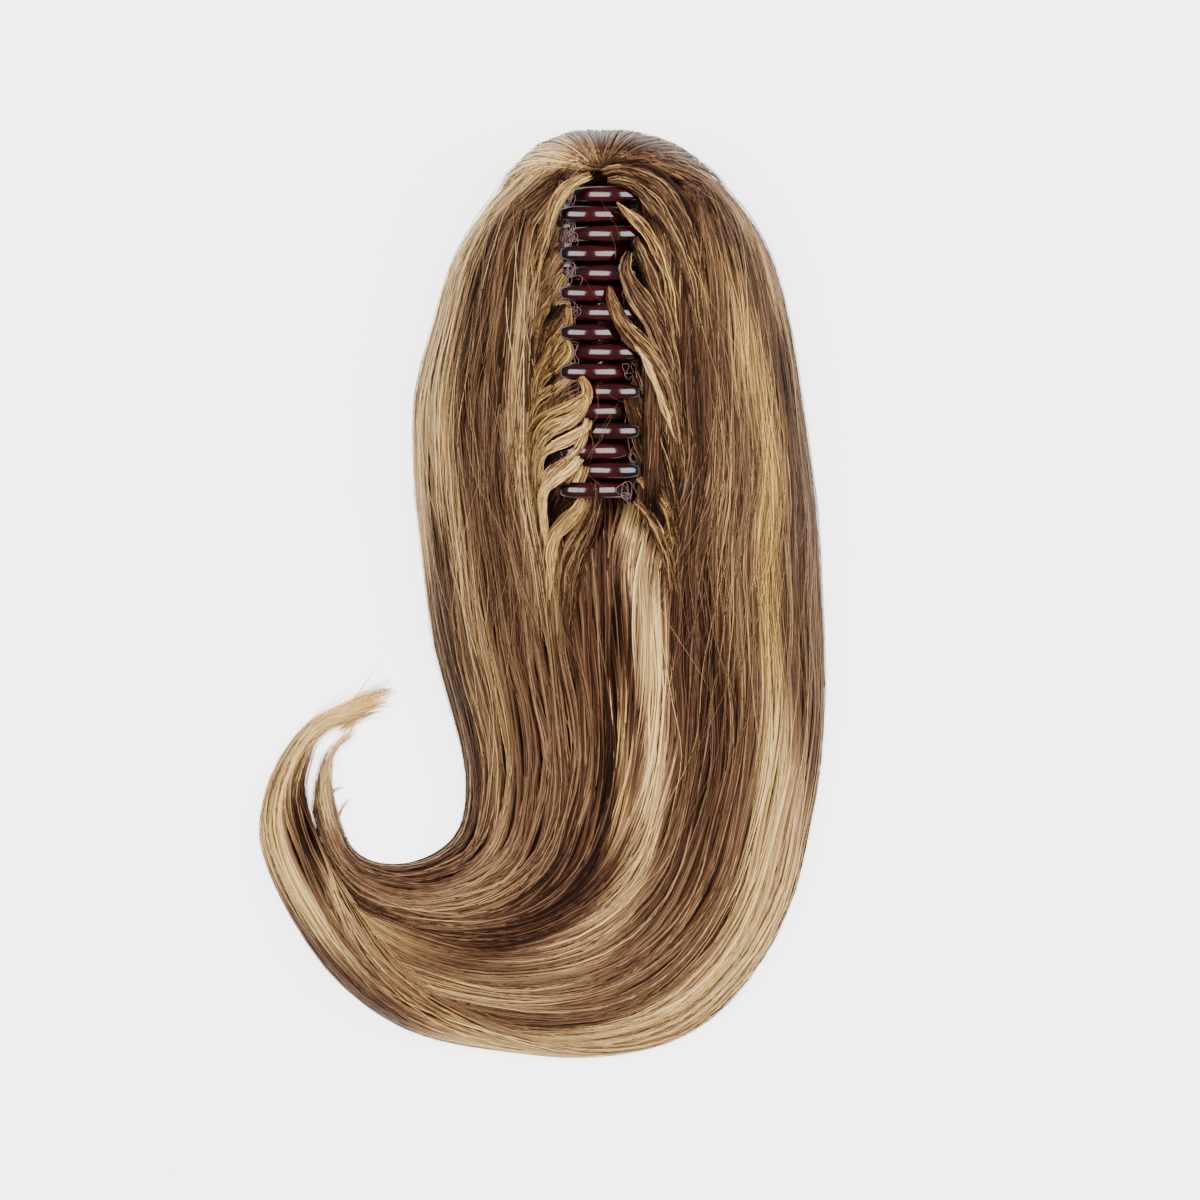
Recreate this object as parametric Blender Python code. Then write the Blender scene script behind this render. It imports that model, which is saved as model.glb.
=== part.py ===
"""Ponytail hairpiece on a long hair claw, lying on its back with the closed teeth up.

The two jaws of the claw turn on one pin along Y. Each jaw carries a net sleeve, and the hair
lies round the claw as a mantle that is open over the teeth and runs down into a swept tail.
Metres, +Z up, +Y towards the crown. The origin is on the flat underside, below the claw's middle.
A side is -1 for the left and 1 for the right.
"""

import math
from collections import namedtuple

import bmesh
import bpy
from mathutils import Vector

MM = 0.001

# Claw: teeth
TEETH_PER_JAW = 8
TOOTH_WIDTH = 5.7 * MM
TOOTH_GAP = 1.36 * MM
TOOTH_THICKNESS = 3.2 * MM
TOOTH_ROOT_LAP_DEG = 6.0
TOOTH_TIP_DEG = 59.0
TOOTH_TAPER_DEG = 14.0
TOOTH_TIP_SHARE = 0.6
TOOTH_STEPS = 11

# Claw: jaw walls, in the plane across the pin
JAW_RADIUS = 20.0 * MM
JAW_CROSSING = 4.5 * MM
JAW_RISE = 14.0 * MM
WALL = 2.4 * MM
WALL_TOP_DEG = 150.0
WALL_FOOT_DEG = 190.0
WALL_STEPS = 4
WAIST_HALF = 6.5 * MM
WAIST_BEYOND_EARS = 5.7 * MM
HANDLE_DROP = 13.0 * MM
HANDLE_SPREAD = 11.0 * MM
HANDLE_HALF_LENGTH = 16.0 * MM

# Claw: hinge
PIN_RADIUS = 1.5 * MM
PIN_PLAY = 0.35 * MM
PIN_BEYOND_EARS = 0.9 * MM
EAR_RADIUS = 4.0 * MM
EAR_WIDTH = 3.0 * MM
EAR_GAP = 0.9 * MM
OPEN_DEG = 45.0
SPRING_HALF_LENGTH = 6.5 * MM
SPRING_RADIUS = 3.0 * MM
SPRING_WIRE = 0.55 * MM
SPRING_PLAY = 0.6 * MM
SPRING_TURNS = 5

# Net sleeves
NET_WALL = 1.2 * MM
NET_PLAY = 0.3 * MM

# Hair
HAIR_WIDTH = 150.0 * MM
CROWN_LENGTH = 23.4 * MM
TAIL_LENGTH = 202.5 * MM
BACK_HAIR = 7.0 * MM
CREST_BELOW_TEETH = 4.0 * MM
DOME_CORNER = 2.4
DOME_ROUND = 0.5
LOCK_GROOVE = 2.4 * MM
GROOVE_SHARE = 0.16
FALL_LOCKS = 4
BACK_LOCKS = 2
BESIDE_LOCKS = 1
EDGE_HEIGHT = 2.0 * MM
EDGE_TUCK = 5.0 * MM
DIP_SHARPNESS = 5

# Clearances round the hair
HAIR_TO_NET = 0.5 * MM
HAIR_TO_TOOTH = 1.0 * MM
HAIR_GAP = 0.3 * MM
OPENING_ROOM = 1.5 * MM
HANDLE_ROOM = 0.6 * MM

# Mesh density
HAIR_STEPS = 2
POINTS_PER_LOCK = 4
ROUND_SIDES = 16
SPRING_STEPS = 8
SPRING_SIDES = 5

# Sizes that follow
PITCH = TOOTH_WIDTH + TOOTH_GAP
CLIP_HALF = TEETH_PER_JAW * PITCH - TOOTH_GAP / 2
WAIST_HALF_LENGTH = SPRING_HALF_LENGTH + 2 * (EAR_GAP + EAR_WIDTH) + WAIST_BEYOND_EARS
HANDLE_REACH = math.hypot(HANDLE_SPREAD, HANDLE_DROP) + WALL / 2
PIN_HEIGHT = BACK_HAIR + HANDLE_ROOM + HANDLE_REACH
TEETH_TOP = PIN_HEIGHT + JAW_RISE + JAW_RADIUS
HAIR_DEPTH = TEETH_TOP - CREST_BELOW_TEETH
NET_OUTSIDE = JAW_RADIUS + NET_PLAY + NET_WALL
CLIP_SIDE = NET_OUTSIDE - JAW_CROSSING + HAIR_TO_NET
OPEN_SHIFT = JAW_RISE * math.sin(math.radians(OPEN_DEG)) - JAW_CROSSING * math.cos(math.radians(OPEN_DEG))
JAW_SWEEP = max(OPEN_SHIFT + NET_OUTSIDE + OPENING_ROOM, CLIP_SIDE + OPENING_ROOM)
HAIR_END = CLIP_HALF + HAIR_TO_TOOTH

# The outer face of a tooth's section: across is a share of half its width, up of its thickness.
TOOTH_SECTION = (
    # across, up
    (-1.00, 0.00),
    (-1.00, 0.45),
    (-0.55, 0.86),
    (0.00, 1.00),
    (0.55, 0.86),
    (1.00, 0.45),
    (1.00, 0.00),
)

# A jaw's wall below its round part. out is a share of the way from WAIST_HALF to HANDLE_SPREAD,
# or above the pin to the round part, and up a share of HANDLE_DROP or JAW_RISE.
HANDLE_ROWS = (
    # out, up
    (1.00, -1.00),
    (0.35, -0.45),
)
SHOULDER_ROW = (0.25, 0.42)
SHOULDER_LENGTH = 0.60
FOOT_LENGTH = 0.86

# Hair over the claw's upper end. along is a share of CROWN_LENGTH from the claw's end, left and
# right are shares of the hair's half widths there, and crest is a share of HAIR_DEPTH.
CROWN_ROWS = (
    # along, left, right, crest
    (0.985, 0.240, 0.235, 0.36),
    (0.908, 0.400, 0.410, 0.56),
    (0.754, 0.595, 0.624, 0.76),
    (0.477, 0.805, 0.788, 0.92),
    (0.000, 1.000, 1.000, 1.00),
)
# Hair beside the claw. along is a share of the claw's length from its upper end, and left and
# right are shares of the way from the claw's side to half of HAIR_WIDTH.
CLIP_ROWS = (
    # along, left, right, crest
    (0.000, 0.347, 0.374, 1.00),
    (0.084, 0.470, 0.552, 1.00),
    (0.229, 0.628, 0.736, 1.00),
    (0.423, 0.746, 0.862, 0.99),
    (0.680, 0.867, 0.967, 0.97),
    (1.000, 0.859, 1.076, 0.94),
)
# Hair below the claw, swept round into the curl. x is a share of HAIR_WIDTH from the middle and
# y a share of TAIL_LENGTH from the claw's lower end. left_end and right_start are shares of the
# way from the inner to the outer edge. dip is how far the edges there are rounded off.
TAIL_ROWS = (
    # inner_x, inner_y, outer_x, outer_y, left_end, right_start, crest, dip
    (-0.443, 0.000, 0.5240, 0.000, 0.372, 0.582, 0.93, 0.0),
    (-0.427, 0.108, 0.5330, 0.108, 0.374, 0.580, 0.84, 0.0),
    (-0.403, 0.250, 0.5420, 0.250, 0.375, 0.565, 0.73, 0.0),
    (-0.365, 0.357, 0.5450, 0.357, 0.370, 0.545, 0.65, 0.0),
    (-0.331, 0.455, 0.5350, 0.473, 0.360, 0.520, 0.59, 0.0),
    (-0.324, 0.526, 0.5110, 0.580, 0.345, 0.490, 0.55, 0.0),
    (-0.338, 0.585, 0.4680, 0.718, 0.330, 0.455, 0.52, 0.0),
    (-0.372, 0.620, 0.3700, 0.855, 0.315, 0.420, 0.49, 0.0),
    (-0.420, 0.642, 0.2160, 0.958, 0.300, 0.385, 0.46, 0.0),
    (-0.475, 0.654, 0.0120, 0.999, 0.285, 0.350, 0.43, 0.0),
    (-0.533, 0.654, -0.2280, 0.990, 0.275, 0.320, 0.40, 0.1),
    (-0.576, 0.644, -0.4560, 0.955, 0.274, 0.278, 0.36, 0.1),
    (-0.610, 0.622, -0.6290, 0.869, 0.280, 0.282, 0.32, 0.2),
    (-0.631, 0.585, -0.7490, 0.748, 0.297, 0.300, 0.27, 0.4),
    (-0.650, 0.532, -0.8210, 0.624, 0.300, 0.322, 0.22, 0.6),
    (-0.657, 0.490, -0.8160, 0.539, 0.250, 0.390, 0.18, 0.7),
    (-0.646, 0.450, -0.7800, 0.468, 0.200, 0.440, 0.14, 0.8),
    (-0.612, 0.420, -0.7200, 0.407, 0.080, 0.560, 0.10, 0.8),
    (-0.590, 0.386, -0.6420, 0.368, 0.040, 0.040, 0.08, 0.8),
    (-0.528, 0.353, -0.5380, 0.341, 0.020, 0.020, 0.05, 0.8),
)
INNER_TIP_ROW = 18
BACK_TIP_ROW = 11

# How far the hair is lower at its inner edges, at the parting and beside each jaw.
PARTING_DIP = 0.22
LEFT_ROOT_DIP = 0.30
RIGHT_ROOT_DIP = 0.06
# How high the middle of the tail stands between the falls, row by row below the claw.
BACK_RISE = (0.45, 0.72, 0.93, 1.00)

Section = namedtuple("Section", "left right left_end right_start crest left_dip right_dip")


def material(name, colour, roughness, metallic=0.0):
    made = bpy.data.materials.new(name)
    made.use_nodes = True
    shader = made.node_tree.nodes["Principled BSDF"]
    shader.inputs["Base Color"].default_value = (*colour, 1.0)
    shader.inputs["Roughness"].default_value = roughness
    shader.inputs["Metallic"].default_value = metallic
    return made


def add_mesh(name, points, faces, finish):
    """A mesh object with its faces turned outwards, shaded smooth between its sharp edges."""
    mesh = bpy.data.meshes.new(name)
    mesh.from_pydata(points, [], faces)
    shape = bmesh.new()
    shape.from_mesh(mesh)
    bmesh.ops.recalc_face_normals(shape, faces=shape.faces)
    shape.to_mesh(mesh)
    shape.free()
    mesh.shade_smooth()
    mesh.set_sharp_from_angle(angle=math.radians(40))
    made = bpy.data.objects.new(name, mesh)
    made.data.materials.append(finish)
    bpy.context.scene.collection.objects.link(made)
    return made


def loft(name, rings, finish):
    """One closed solid through rings of equal length, capped at both ends."""
    count = len(rings[0])
    points = [point for ring in rings for point in ring]
    faces = [tuple(range(count)), tuple(range(len(points) - count, len(points)))]
    for row in range(len(rings) - 1):
        for i in range(count):
            j = (i + 1) % count
            low, high = row * count, (row + 1) * count
            faces.append((low + i, low + j, high + j, high + i))
    return add_mesh(name, points, faces, finish)


def lerp(a, b, share):
    return a + (b - a) * share


def plan(x, y):
    return Vector((x, y, 0.0))


def between(rows, steps):
    """The rows with steps - 1 more in each gap, on a smooth curve through each column."""
    made = []
    for i in range(len(rows) - 1):
        before, start = rows[max(i - 1, 0)], rows[i]
        end, after = rows[i + 1], rows[min(i + 2, len(rows) - 1)]
        for step in range(steps):
            t = step / steps
            row = []
            for a, b, c, d in zip(before, start, end, after):
                slope, bend, twist = c - a, 2 * a - 5 * b + 4 * c - d, 3 * b - a - 3 * c + d
                row.append(b + 0.5 * (slope * t + bend * t**2 + twist * t**3))
            made.append(tuple(row))
    made.append(tuple(rows[-1]))
    return made


def on_circle(side, radius, degrees):
    """A point of a jaw's round part, in the plane across the pin."""
    angle = math.radians(degrees)
    x = JAW_CROSSING + radius * math.cos(angle)
    return -side * x, PIN_HEIGHT + JAW_RISE + radius * math.sin(angle)


def wall_line(side):
    """The middle of a jaw's wall from handle tip to top: (x, z, half length along Y)."""
    rows = []
    for out, up in HANDLE_ROWS:
        x = lerp(WAIST_HALF, HANDLE_SPREAD, out)
        rows.append((side * x, PIN_HEIGHT + up * HANDLE_DROP, HANDLE_HALF_LENGTH))
    rows.append((side * WAIST_HALF, PIN_HEIGHT, WAIST_HALF_LENGTH))
    x = lerp(WAIST_HALF, JAW_RADIUS - JAW_CROSSING, SHOULDER_ROW[0])
    rows.append((side * x, PIN_HEIGHT + SHOULDER_ROW[1] * JAW_RISE, CLIP_HALF * SHOULDER_LENGTH))
    for step in range(WALL_STEPS + 1):
        share = step / WALL_STEPS
        x, z = on_circle(side, JAW_RADIUS - WALL / 2, lerp(WALL_FOOT_DEG, WALL_TOP_DEG, share))
        rows.append((x, z, CLIP_HALF * lerp(FOOT_LENGTH, 1.0, min(1.0, 2 * share))))
    return rows


def offset_line(rows, distance, side):
    """The same rows moved outwards from the claw's middle, square to the line."""
    moved = []
    for i, (x, z, half) in enumerate(rows):
        before, after = rows[max(i - 1, 0)], rows[min(i + 1, len(rows) - 1)]
        run = Vector((after[0] - before[0], after[1] - before[1])).normalized()
        moved.append((x + side * run.y * distance, z - side * run.x * distance, half))
    return moved


def sleeve(name, rows, inner, outer, side, finish):
    """A wall between two offsets of the same line."""
    rings = []
    near, far = offset_line(rows, inner, side), offset_line(rows, outer, side)
    for (x0, z0, half), (x1, z1, _) in zip(near, far):
        rings.append(((x0, -half, z0), (x0, half, z0), (x1, half, z1), (x1, -half, z1)))
    return loft(name, rings, finish)


def tooth(name, side, middle, finish):
    """A bar with a rounded outer face, bent round the claw from its wall to its tip."""
    rings = []
    for step in range(TOOTH_STEPS + 1):
        degrees = lerp(WALL_TOP_DEG + TOOTH_ROOT_LAP_DEG, TOOTH_TIP_DEG, step / TOOTH_STEPS)
        from_tip = min(1.0, (degrees - TOOTH_TIP_DEG) / TOOTH_TAPER_DEG)
        size = lerp(TOOTH_TIP_SHARE, 1.0, math.sqrt(from_tip))
        half, thick = TOOTH_WIDTH / 2 * size, TOOTH_THICKNESS * size
        inner = JAW_RADIUS - (TOOTH_THICKNESS + thick) / 2
        ring = []
        for across, up in TOOTH_SECTION:
            x, z = on_circle(side, inner + thick * up, degrees)
            ring.append((x, middle + half * across, z))
        rings.append(ring)
    return loft(name, rings, finish)


def ear(name, side, middle, finish):
    """A lug from a jaw's waist round the pin, before its bore is cut."""
    outline = []
    for step in range(ROUND_SIDES // 2 + 1):
        angle = math.pi * (0.5 - step / (ROUND_SIDES // 2))
        outline.append((-side * EAR_RADIUS * math.cos(angle), EAR_RADIUS * math.sin(angle)))
    outline += [(side * WAIST_HALF, -EAR_RADIUS), (side * WAIST_HALF, EAR_RADIUS)]
    rings = []
    for end in (-1, 1):
        y = middle + end * EAR_WIDTH / 2
        rings.append([(x, y, PIN_HEIGHT + z) for x, z in outline])
    return loft(name, rings, finish)


def rod(name, radius, half_length, finish):
    """A plain round bar on the pin's axis."""
    rings = []
    for end in (-1, 1):
        ring = []
        for i in range(ROUND_SIDES):
            angle = 2 * math.pi * i / ROUND_SIDES
            x, z = radius * math.cos(angle), radius * math.sin(angle)
            ring.append((x, end * half_length, PIN_HEIGHT + z))
        rings.append(ring)
    return loft(name, rings, finish)


def fuse(base, others, operation):
    """Applies one Boolean for each of the others, then drops them."""
    for other in others:
        step = base.modifiers.new("step", "BOOLEAN")
        step.operation = operation
        step.solver = "EXACT"
        step.object = other
    graph = bpy.context.evaluated_depsgraph_get()
    mesh = bpy.data.meshes.new_from_object(base.evaluated_get(graph))
    base.modifiers.clear()
    base.data = mesh
    for other in others:
        bpy.data.objects.remove(other)
    return base


def ear_middles(place):
    """Where a jaw's two ears sit along the pin: place 0 is next to the spring, 1 outside it."""
    middle = SPRING_HALF_LENGTH + EAR_GAP + EAR_WIDTH / 2 + place * (EAR_WIDTH + EAR_GAP)
    return -middle, middle


def jaw(name, side, first_tooth, ear_place, finish):
    made = sleeve(name, wall_line(side), -WALL / 2, WALL / 2, side, finish)
    pieces = []
    for i in range(TEETH_PER_JAW):
        middle = CLIP_HALF - TOOTH_WIDTH / 2 - (2 * i + first_tooth) * PITCH
        pieces.append(tooth(f"tooth_{i}", side, middle, finish))
    for middle in ear_middles(ear_place):
        pieces.append(ear("ear", side, middle, finish))
    fuse(made, pieces, "UNION")
    bore = rod("bore", PIN_RADIUS + PIN_PLAY, WAIST_HALF_LENGTH, finish)
    return fuse(made, [bore], "DIFFERENCE")


def hinge_pin(finish):
    half_length = ear_middles(1)[1] + EAR_WIDTH / 2 + PIN_BEYOND_EARS
    return rod("hinge_pin", PIN_RADIUS, half_length, finish)


def spring_foot(side, share):
    """A point of a spring leg, a share of the way down the inside of a handle."""
    out, up = HANDLE_ROWS[1]
    if share > -up:
        out, up = lerp(out, 1.0, (share + up) / (1.0 + up)), -share
    x = lerp(WAIST_HALF, HANDLE_SPREAD, out) - WALL / 2 - SPRING_WIRE - SPRING_PLAY
    y = side * (SPRING_HALF_LENGTH - SPRING_WIRE)
    return Vector((side * x, y, PIN_HEIGHT + HANDLE_DROP * up))


def hinge_spring(finish):
    """A torsion coil round the pin, its two legs against the insides of the handles."""
    line = [spring_foot(-1, 0.75), spring_foot(-1, 0.40)]
    turns = SPRING_TURNS * SPRING_STEPS + SPRING_STEPS // 2
    reach = SPRING_HALF_LENGTH - SPRING_WIRE
    for i in range(turns + 1):
        angle = math.pi + 2 * math.pi * i / SPRING_STEPS
        x, z = SPRING_RADIUS * math.cos(angle), -SPRING_RADIUS * math.sin(angle)
        line.append(Vector((x, lerp(-reach, reach, i / turns), PIN_HEIGHT + z)))
    line += [spring_foot(1, 0.40), spring_foot(1, 0.75)]
    rings = []
    for i, point in enumerate(line):
        run = (line[min(i + 1, len(line) - 1)] - line[max(i - 1, 0)]).normalized()
        across = run.cross(Vector((0, 1, 0.2))).normalized()
        up = across.cross(run)
        ring = []
        for k in range(SPRING_SIDES):
            angle = 2 * math.pi * k / SPRING_SIDES
            ring.append(point + SPRING_WIRE * (across * math.cos(angle) + up * math.sin(angle)))
        rings.append(ring)
    return loft("hinge_spring", rings, finish)


def net(name, side, finish):
    """A sleeve over the outside of a jaw, from its shoulder to the roots of its teeth."""
    rows = wall_line(side)[len(HANDLE_ROWS) + 1:]
    near = WALL / 2 + NET_PLAY
    return sleeve(name, rows, near, near + NET_WALL, side, finish)


def share_at(left, right, x):
    return (x - left) / (right - left)


def upright_section(y, left, right, starts, crest, dips):
    """A section straight across, whose falls start at two given places along X."""
    left_end, right_start = (share_at(left, right, x) for x in starts)
    return Section(plan(left, y), plan(right, y), left_end, right_start, crest, *dips)


def clip_edges(row):
    half = HAIR_WIDTH / 2
    return -lerp(CLIP_SIDE, half, row[1]), lerp(JAW_SWEEP, half, row[2])


def crown_sections():
    made = []
    full_left, full_right = clip_edges(CLIP_ROWS[0])
    for along, left, right, crest in between(CROWN_ROWS, HAIR_STEPS):
        y = lerp(HAIR_END + HAIR_GAP, CLIP_HALF + CROWN_LENGTH, along)
        edges = full_left * left, full_right * right
        starts = -HAIR_GAP / 2, HAIR_GAP / 2
        made.append(upright_section(y, *edges, starts, crest, (PARTING_DIP, PARTING_DIP)))
    return made


def clip_sections():
    made = []
    for row in between(CLIP_ROWS, HAIR_STEPS):
        y = lerp(HAIR_END, -HAIR_END, row[0])
        dips = LEFT_ROOT_DIP, RIGHT_ROOT_DIP
        made.append(upright_section(y, *clip_edges(row), (-CLIP_SIDE, JAW_SWEEP), row[3], dips))
    return made


def tail_sections():
    """Sections that turn with the tail, from just below the claw to the tip of the curl."""
    made = []
    top, low = -HAIR_END - 2 * HAIR_GAP, -CLIP_HALF - TAIL_LENGTH
    for row in between(TAIL_ROWS, HAIR_STEPS):
        inner = plan(row[0] * HAIR_WIDTH, lerp(top, low, row[1]))
        outer = plan(row[2] * HAIR_WIDTH, lerp(top, low, row[3]))
        made.append(Section(inner, outer, row[4], row[5], row[6], row[7], row[7]))
    return made


def hair_height(share, crest):
    """Height of the whole mass of hair, from its left outer edge (0) to its right one (1)."""
    off = abs(2.0 * share - 1.0)
    return HAIR_DEPTH * crest * max(0.0, 1.0 - off**DOME_CORNER) ** DOME_ROUND


def groove(across, locks, height):
    """How deep the groove between two locks is, a share of the way across a piece."""
    wave = 0.5 + 0.5 * math.cos(2 * math.pi * across * locks)
    return min(LOCK_GROOVE, height * GROOVE_SHARE) * wave


def hair_ring(section, start, end, locks, floor=0.0, dip=0.0, rise=1.0, tuck=0.0):
    """A closed outline across a piece that runs between two shares of a section."""
    steps = locks * POINTS_PER_LOCK
    width = (section.right - section.left).length * abs(end - start)
    lowest = floor + EDGE_HEIGHT * min(1.0, 2.0 * section.crest)
    ring = []
    for i in range(steps + 1):
        across = i / steps
        share = lerp(start, end, across)
        full = hair_height(share, section.crest) * (1.0 - dip * (1.0 - across) ** DIP_SHARPNESS)
        height = max(full * rise - groove(across, locks, full), lowest)
        point = lerp(section.left, section.right, share)
        ring.append((point.x, point.y, height))
    for across in (1.0 - min(tuck, width * 0.3) / width, 0.5, 0.0):
        point = lerp(section.left, section.right, lerp(start, end, across))
        ring.append((point.x, point.y, floor))
    return ring


def gap_share(section, gaps):
    return gaps * HAIR_GAP / (section.right - section.left).length


def hair_left(finish):
    """The left side of the mantle, whose hair ends in the small inner tip of the curl."""
    tail = tail_sections()[: (INNER_TIP_ROW - 1) * HAIR_STEPS + 1]
    rings = []
    for section in crown_sections() + clip_sections() + tail:
        start = section.left_end - gap_share(section, 0.5)
        rings.append(hair_ring(section, start, 0.0, FALL_LOCKS, dip=section.left_dip, tuck=EDGE_TUCK))
    return loft("hair_left", rings, finish)


def hair_right(finish):
    """The right side of the mantle, whose hair runs right round to the tip of the curl."""
    rings = []
    for section in crown_sections() + clip_sections() + tail_sections():
        start = section.right_start + gap_share(section, 0.5)
        rings.append(hair_ring(section, start, 1.0, FALL_LOCKS, dip=section.right_dip, tuck=EDGE_TUCK))
    return loft("hair_right", rings, finish)


def hair_beside_jaw(finish):
    """The hair between the right jaw and the right fall, which gives way as the jaw opens."""
    inset = 1.0 - HAIR_GAP / HAIR_END
    rings = []
    for section in clip_sections():
        left, right = section.left.x, section.right.x
        start = share_at(left, right, JAW_SWEEP - HAIR_GAP)
        end = share_at(left, right, CLIP_SIDE)
        ring = hair_ring(section, start, end, BESIDE_LOCKS, floor=BACK_HAIR + HAIR_GAP)
        rings.append([(x, y * inset, z) for x, y, z in ring])
    return loft("hair_beside_jaw", rings, finish)


def slab_ring(y):
    """The level layer below the claw, in as many points as a ring of the tail."""
    steps = BACK_LOCKS * POINTS_PER_LOCK
    start, end = -CLIP_SIDE + HAIR_GAP, JAW_SWEEP - HAIR_GAP
    ring = [(lerp(start, end, i / steps), y, BACK_HAIR) for i in range(steps + 1)]
    return ring + [(end, y, 0.0), ((start + end) / 2, y, 0.0), (start, y, 0.0)]


def hair_back(finish):
    """The layer that the claw lies on, rising below it into the middle of the tail."""
    lower = -HAIR_END + HAIR_GAP
    rings = [slab_ring(HAIR_END - HAIR_GAP), slab_ring(lower)]
    for i, section in enumerate(tail_sections()[: (BACK_TIP_ROW - 1) * HAIR_STEPS + 1]):
        start = section.left_end + gap_share(section, 0.5)
        end = section.right_start - gap_share(section, 0.5)
        rise = BACK_RISE[min(i, len(BACK_RISE) - 1)]
        if i == 0:
            foot = hair_ring(section, start, end, BACK_LOCKS)
            rings.append([(x, lerp(lower, y, 0.5), min(z, BACK_HAIR)) for x, y, z in foot])
        rings.append(hair_ring(section, start, end, BACK_LOCKS, rise=rise))
    return loft("hair_back", rings, finish)


def clear_scene():
    for old in list(bpy.data.objects):
        bpy.data.objects.remove(old)


def main():
    clear_scene()
    tortoise = material("tortoise_plastic", (0.085, 0.008, 0.010), 0.12)
    steel = material("spring_steel", (0.55, 0.55, 0.57), 0.3, 1.0)
    crochet = material("crochet_net", (0.17, 0.09, 0.08), 0.8)
    light = material("light_brown_hair", (0.36, 0.24, 0.14), 0.42)
    dark = material("brown_hair", (0.20, 0.12, 0.07), 0.42)

    jaw("jaw_left", -1, 0, 1, tortoise)
    jaw("jaw_right", 1, 1, 0, tortoise)
    hinge_pin(steel)
    hinge_spring(steel)
    net("net_left", -1, crochet)
    net("net_right", 1, crochet)
    hair_left(light)
    hair_right(light)
    hair_back(dark)
    hair_beside_jaw(dark)


main()
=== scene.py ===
"""Looks of the ponytail hairpiece: strands of hair, the hair claw and its net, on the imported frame.

Metres, +Z up, +Y towards the crown. Points named in pixels are places in a 1200 pixel wide view from
straight above. A side is -1 for the left and 1 for the right.
"""

import math

import bmesh
import bpy
import numpy as np
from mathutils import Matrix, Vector


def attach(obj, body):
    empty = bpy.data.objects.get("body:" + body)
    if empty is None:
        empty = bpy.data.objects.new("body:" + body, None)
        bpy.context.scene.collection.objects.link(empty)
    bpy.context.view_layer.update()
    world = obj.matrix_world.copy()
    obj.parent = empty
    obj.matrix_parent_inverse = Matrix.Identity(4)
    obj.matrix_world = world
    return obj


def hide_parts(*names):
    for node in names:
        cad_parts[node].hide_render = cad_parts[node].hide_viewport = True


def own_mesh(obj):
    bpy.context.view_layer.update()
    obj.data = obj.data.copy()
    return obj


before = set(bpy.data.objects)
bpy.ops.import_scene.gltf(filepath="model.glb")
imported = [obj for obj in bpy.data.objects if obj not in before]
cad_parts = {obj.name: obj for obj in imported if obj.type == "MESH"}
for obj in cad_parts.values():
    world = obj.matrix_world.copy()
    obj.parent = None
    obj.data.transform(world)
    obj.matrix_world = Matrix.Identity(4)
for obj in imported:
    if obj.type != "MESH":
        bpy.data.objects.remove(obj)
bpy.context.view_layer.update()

MM = 0.001

# The view from above: size of a pixel, and the pixel above the origin
PIXEL = 0.36 * MM
ORIGIN_PX = (600.0, 344.0)
VIEW_PX = 1200.0

# Sizes of the claw, as in the solids
TEETH_PER_JAW = 8
TOOTH_WIDTH = 5.7 * MM
TOOTH_GAP = 1.36 * MM
TOOTH_THICKNESS = 3.2 * MM
TOOTH_TIP_DEG = 59.0
TOOTH_TAPER_DEG = 14.0
TOOTH_TIP_SHARE = 0.6
JAW_RADIUS = 20.0 * MM
JAW_CROSSING = 4.5 * MM
JAW_RISE = 14.0 * MM
WALL = 2.4 * MM
WALL_TOP_DEG = 150.0
WALL_FOOT_DEG = 190.0
WAIST_HALF = 6.5 * MM
WAIST_HALF_LENGTH = 20.0 * MM
HANDLE_DROP = 13.0 * MM
HANDLE_SPREAD = 11.0 * MM
HANDLE_HALF_LENGTH = 16.0 * MM
PIN_HEIGHT = 25.83 * MM
EAR_RADIUS = 4.0 * MM
EAR_WIDTH = 3.0 * MM
FIRST_EAR = 8.9 * MM
EAR_STEP = 3.9 * MM
EAR_STEPS = 16
PITCH = TOOTH_WIDTH + TOOTH_GAP
CLIP_HALF = TEETH_PER_JAW * PITCH - TOOTH_GAP / 2

# Sizes of the hair, as in the solids
HAIR_WIDTH = 150.0 * MM
CROWN_LENGTH = 23.4 * MM
TAIL_LENGTH = 202.5 * MM
HAIR_DEPTH = 55.83 * MM
HAIR_END = 56.8 * MM
HAIR_GAP = 0.3 * MM
CLIP_SIDE = 17.5 * MM
JAW_SWEEP = 29.72 * MM
DOME_CORNER = 2.4
DIP_SHARPNESS = 5
PARTING_DIP = 0.22
LEFT_ROOT_DIP = 0.30
RIGHT_ROOT_DIP = 0.06
BACK_RISE = (0.74, 0.90, 0.98, 1.00)
BACK_RISE_STEP = 11.0 * MM

# Near the claw's lower end the dark cores stay this far below the strands
JOIN_REACH = 45.0 * MM
JOIN_INSET = 2.4 * MM
# The cores draw in to a point short of the curl's tips: tip, point to draw in to, reach, in pixels.
# Only what lies left of the curl's right end is drawn in.
CURL_RIGHT = 402.0
CORE_TIPS = {
    "hair_right": ((388, 698), (346, 719), 66.0),
    "hair_left": ((348, 735), (320, 800), 84.0),
}
# How far above and below the claw's lower end the falls' inner edges are smoothed
JOIN_BEFORE = 22.0 * MM
JOIN_AFTER = 34.0 * MM

# How far the dark cores and the net's lining are drawn in, and the cores' tone. The cores and the lining are
# dark as painted shade.
CORE_INSET = 1.6 * MM
CORE_LOWEST = 0.4 * MM
CORE_TIP_HEIGHT = 1.0 * MM
CORE_STREAK = 0.7
CORE_SHADE_TONE = 0.22
PARTING_NEAR = 1.0 * MM
LINING_INSET_MM = 0.3

# Outline of the crown, from the middle of its upper end: shares of the half width and of its length
CROWN_OUTLINE = (
    # out, along
    (0.000, 1.000),
    (0.240, 0.985),
    (0.400, 0.908),
    (0.610, 0.754),
    (0.800, 0.477),
    (0.930, 0.240),
    (1.000, 0.000),
)
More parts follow.
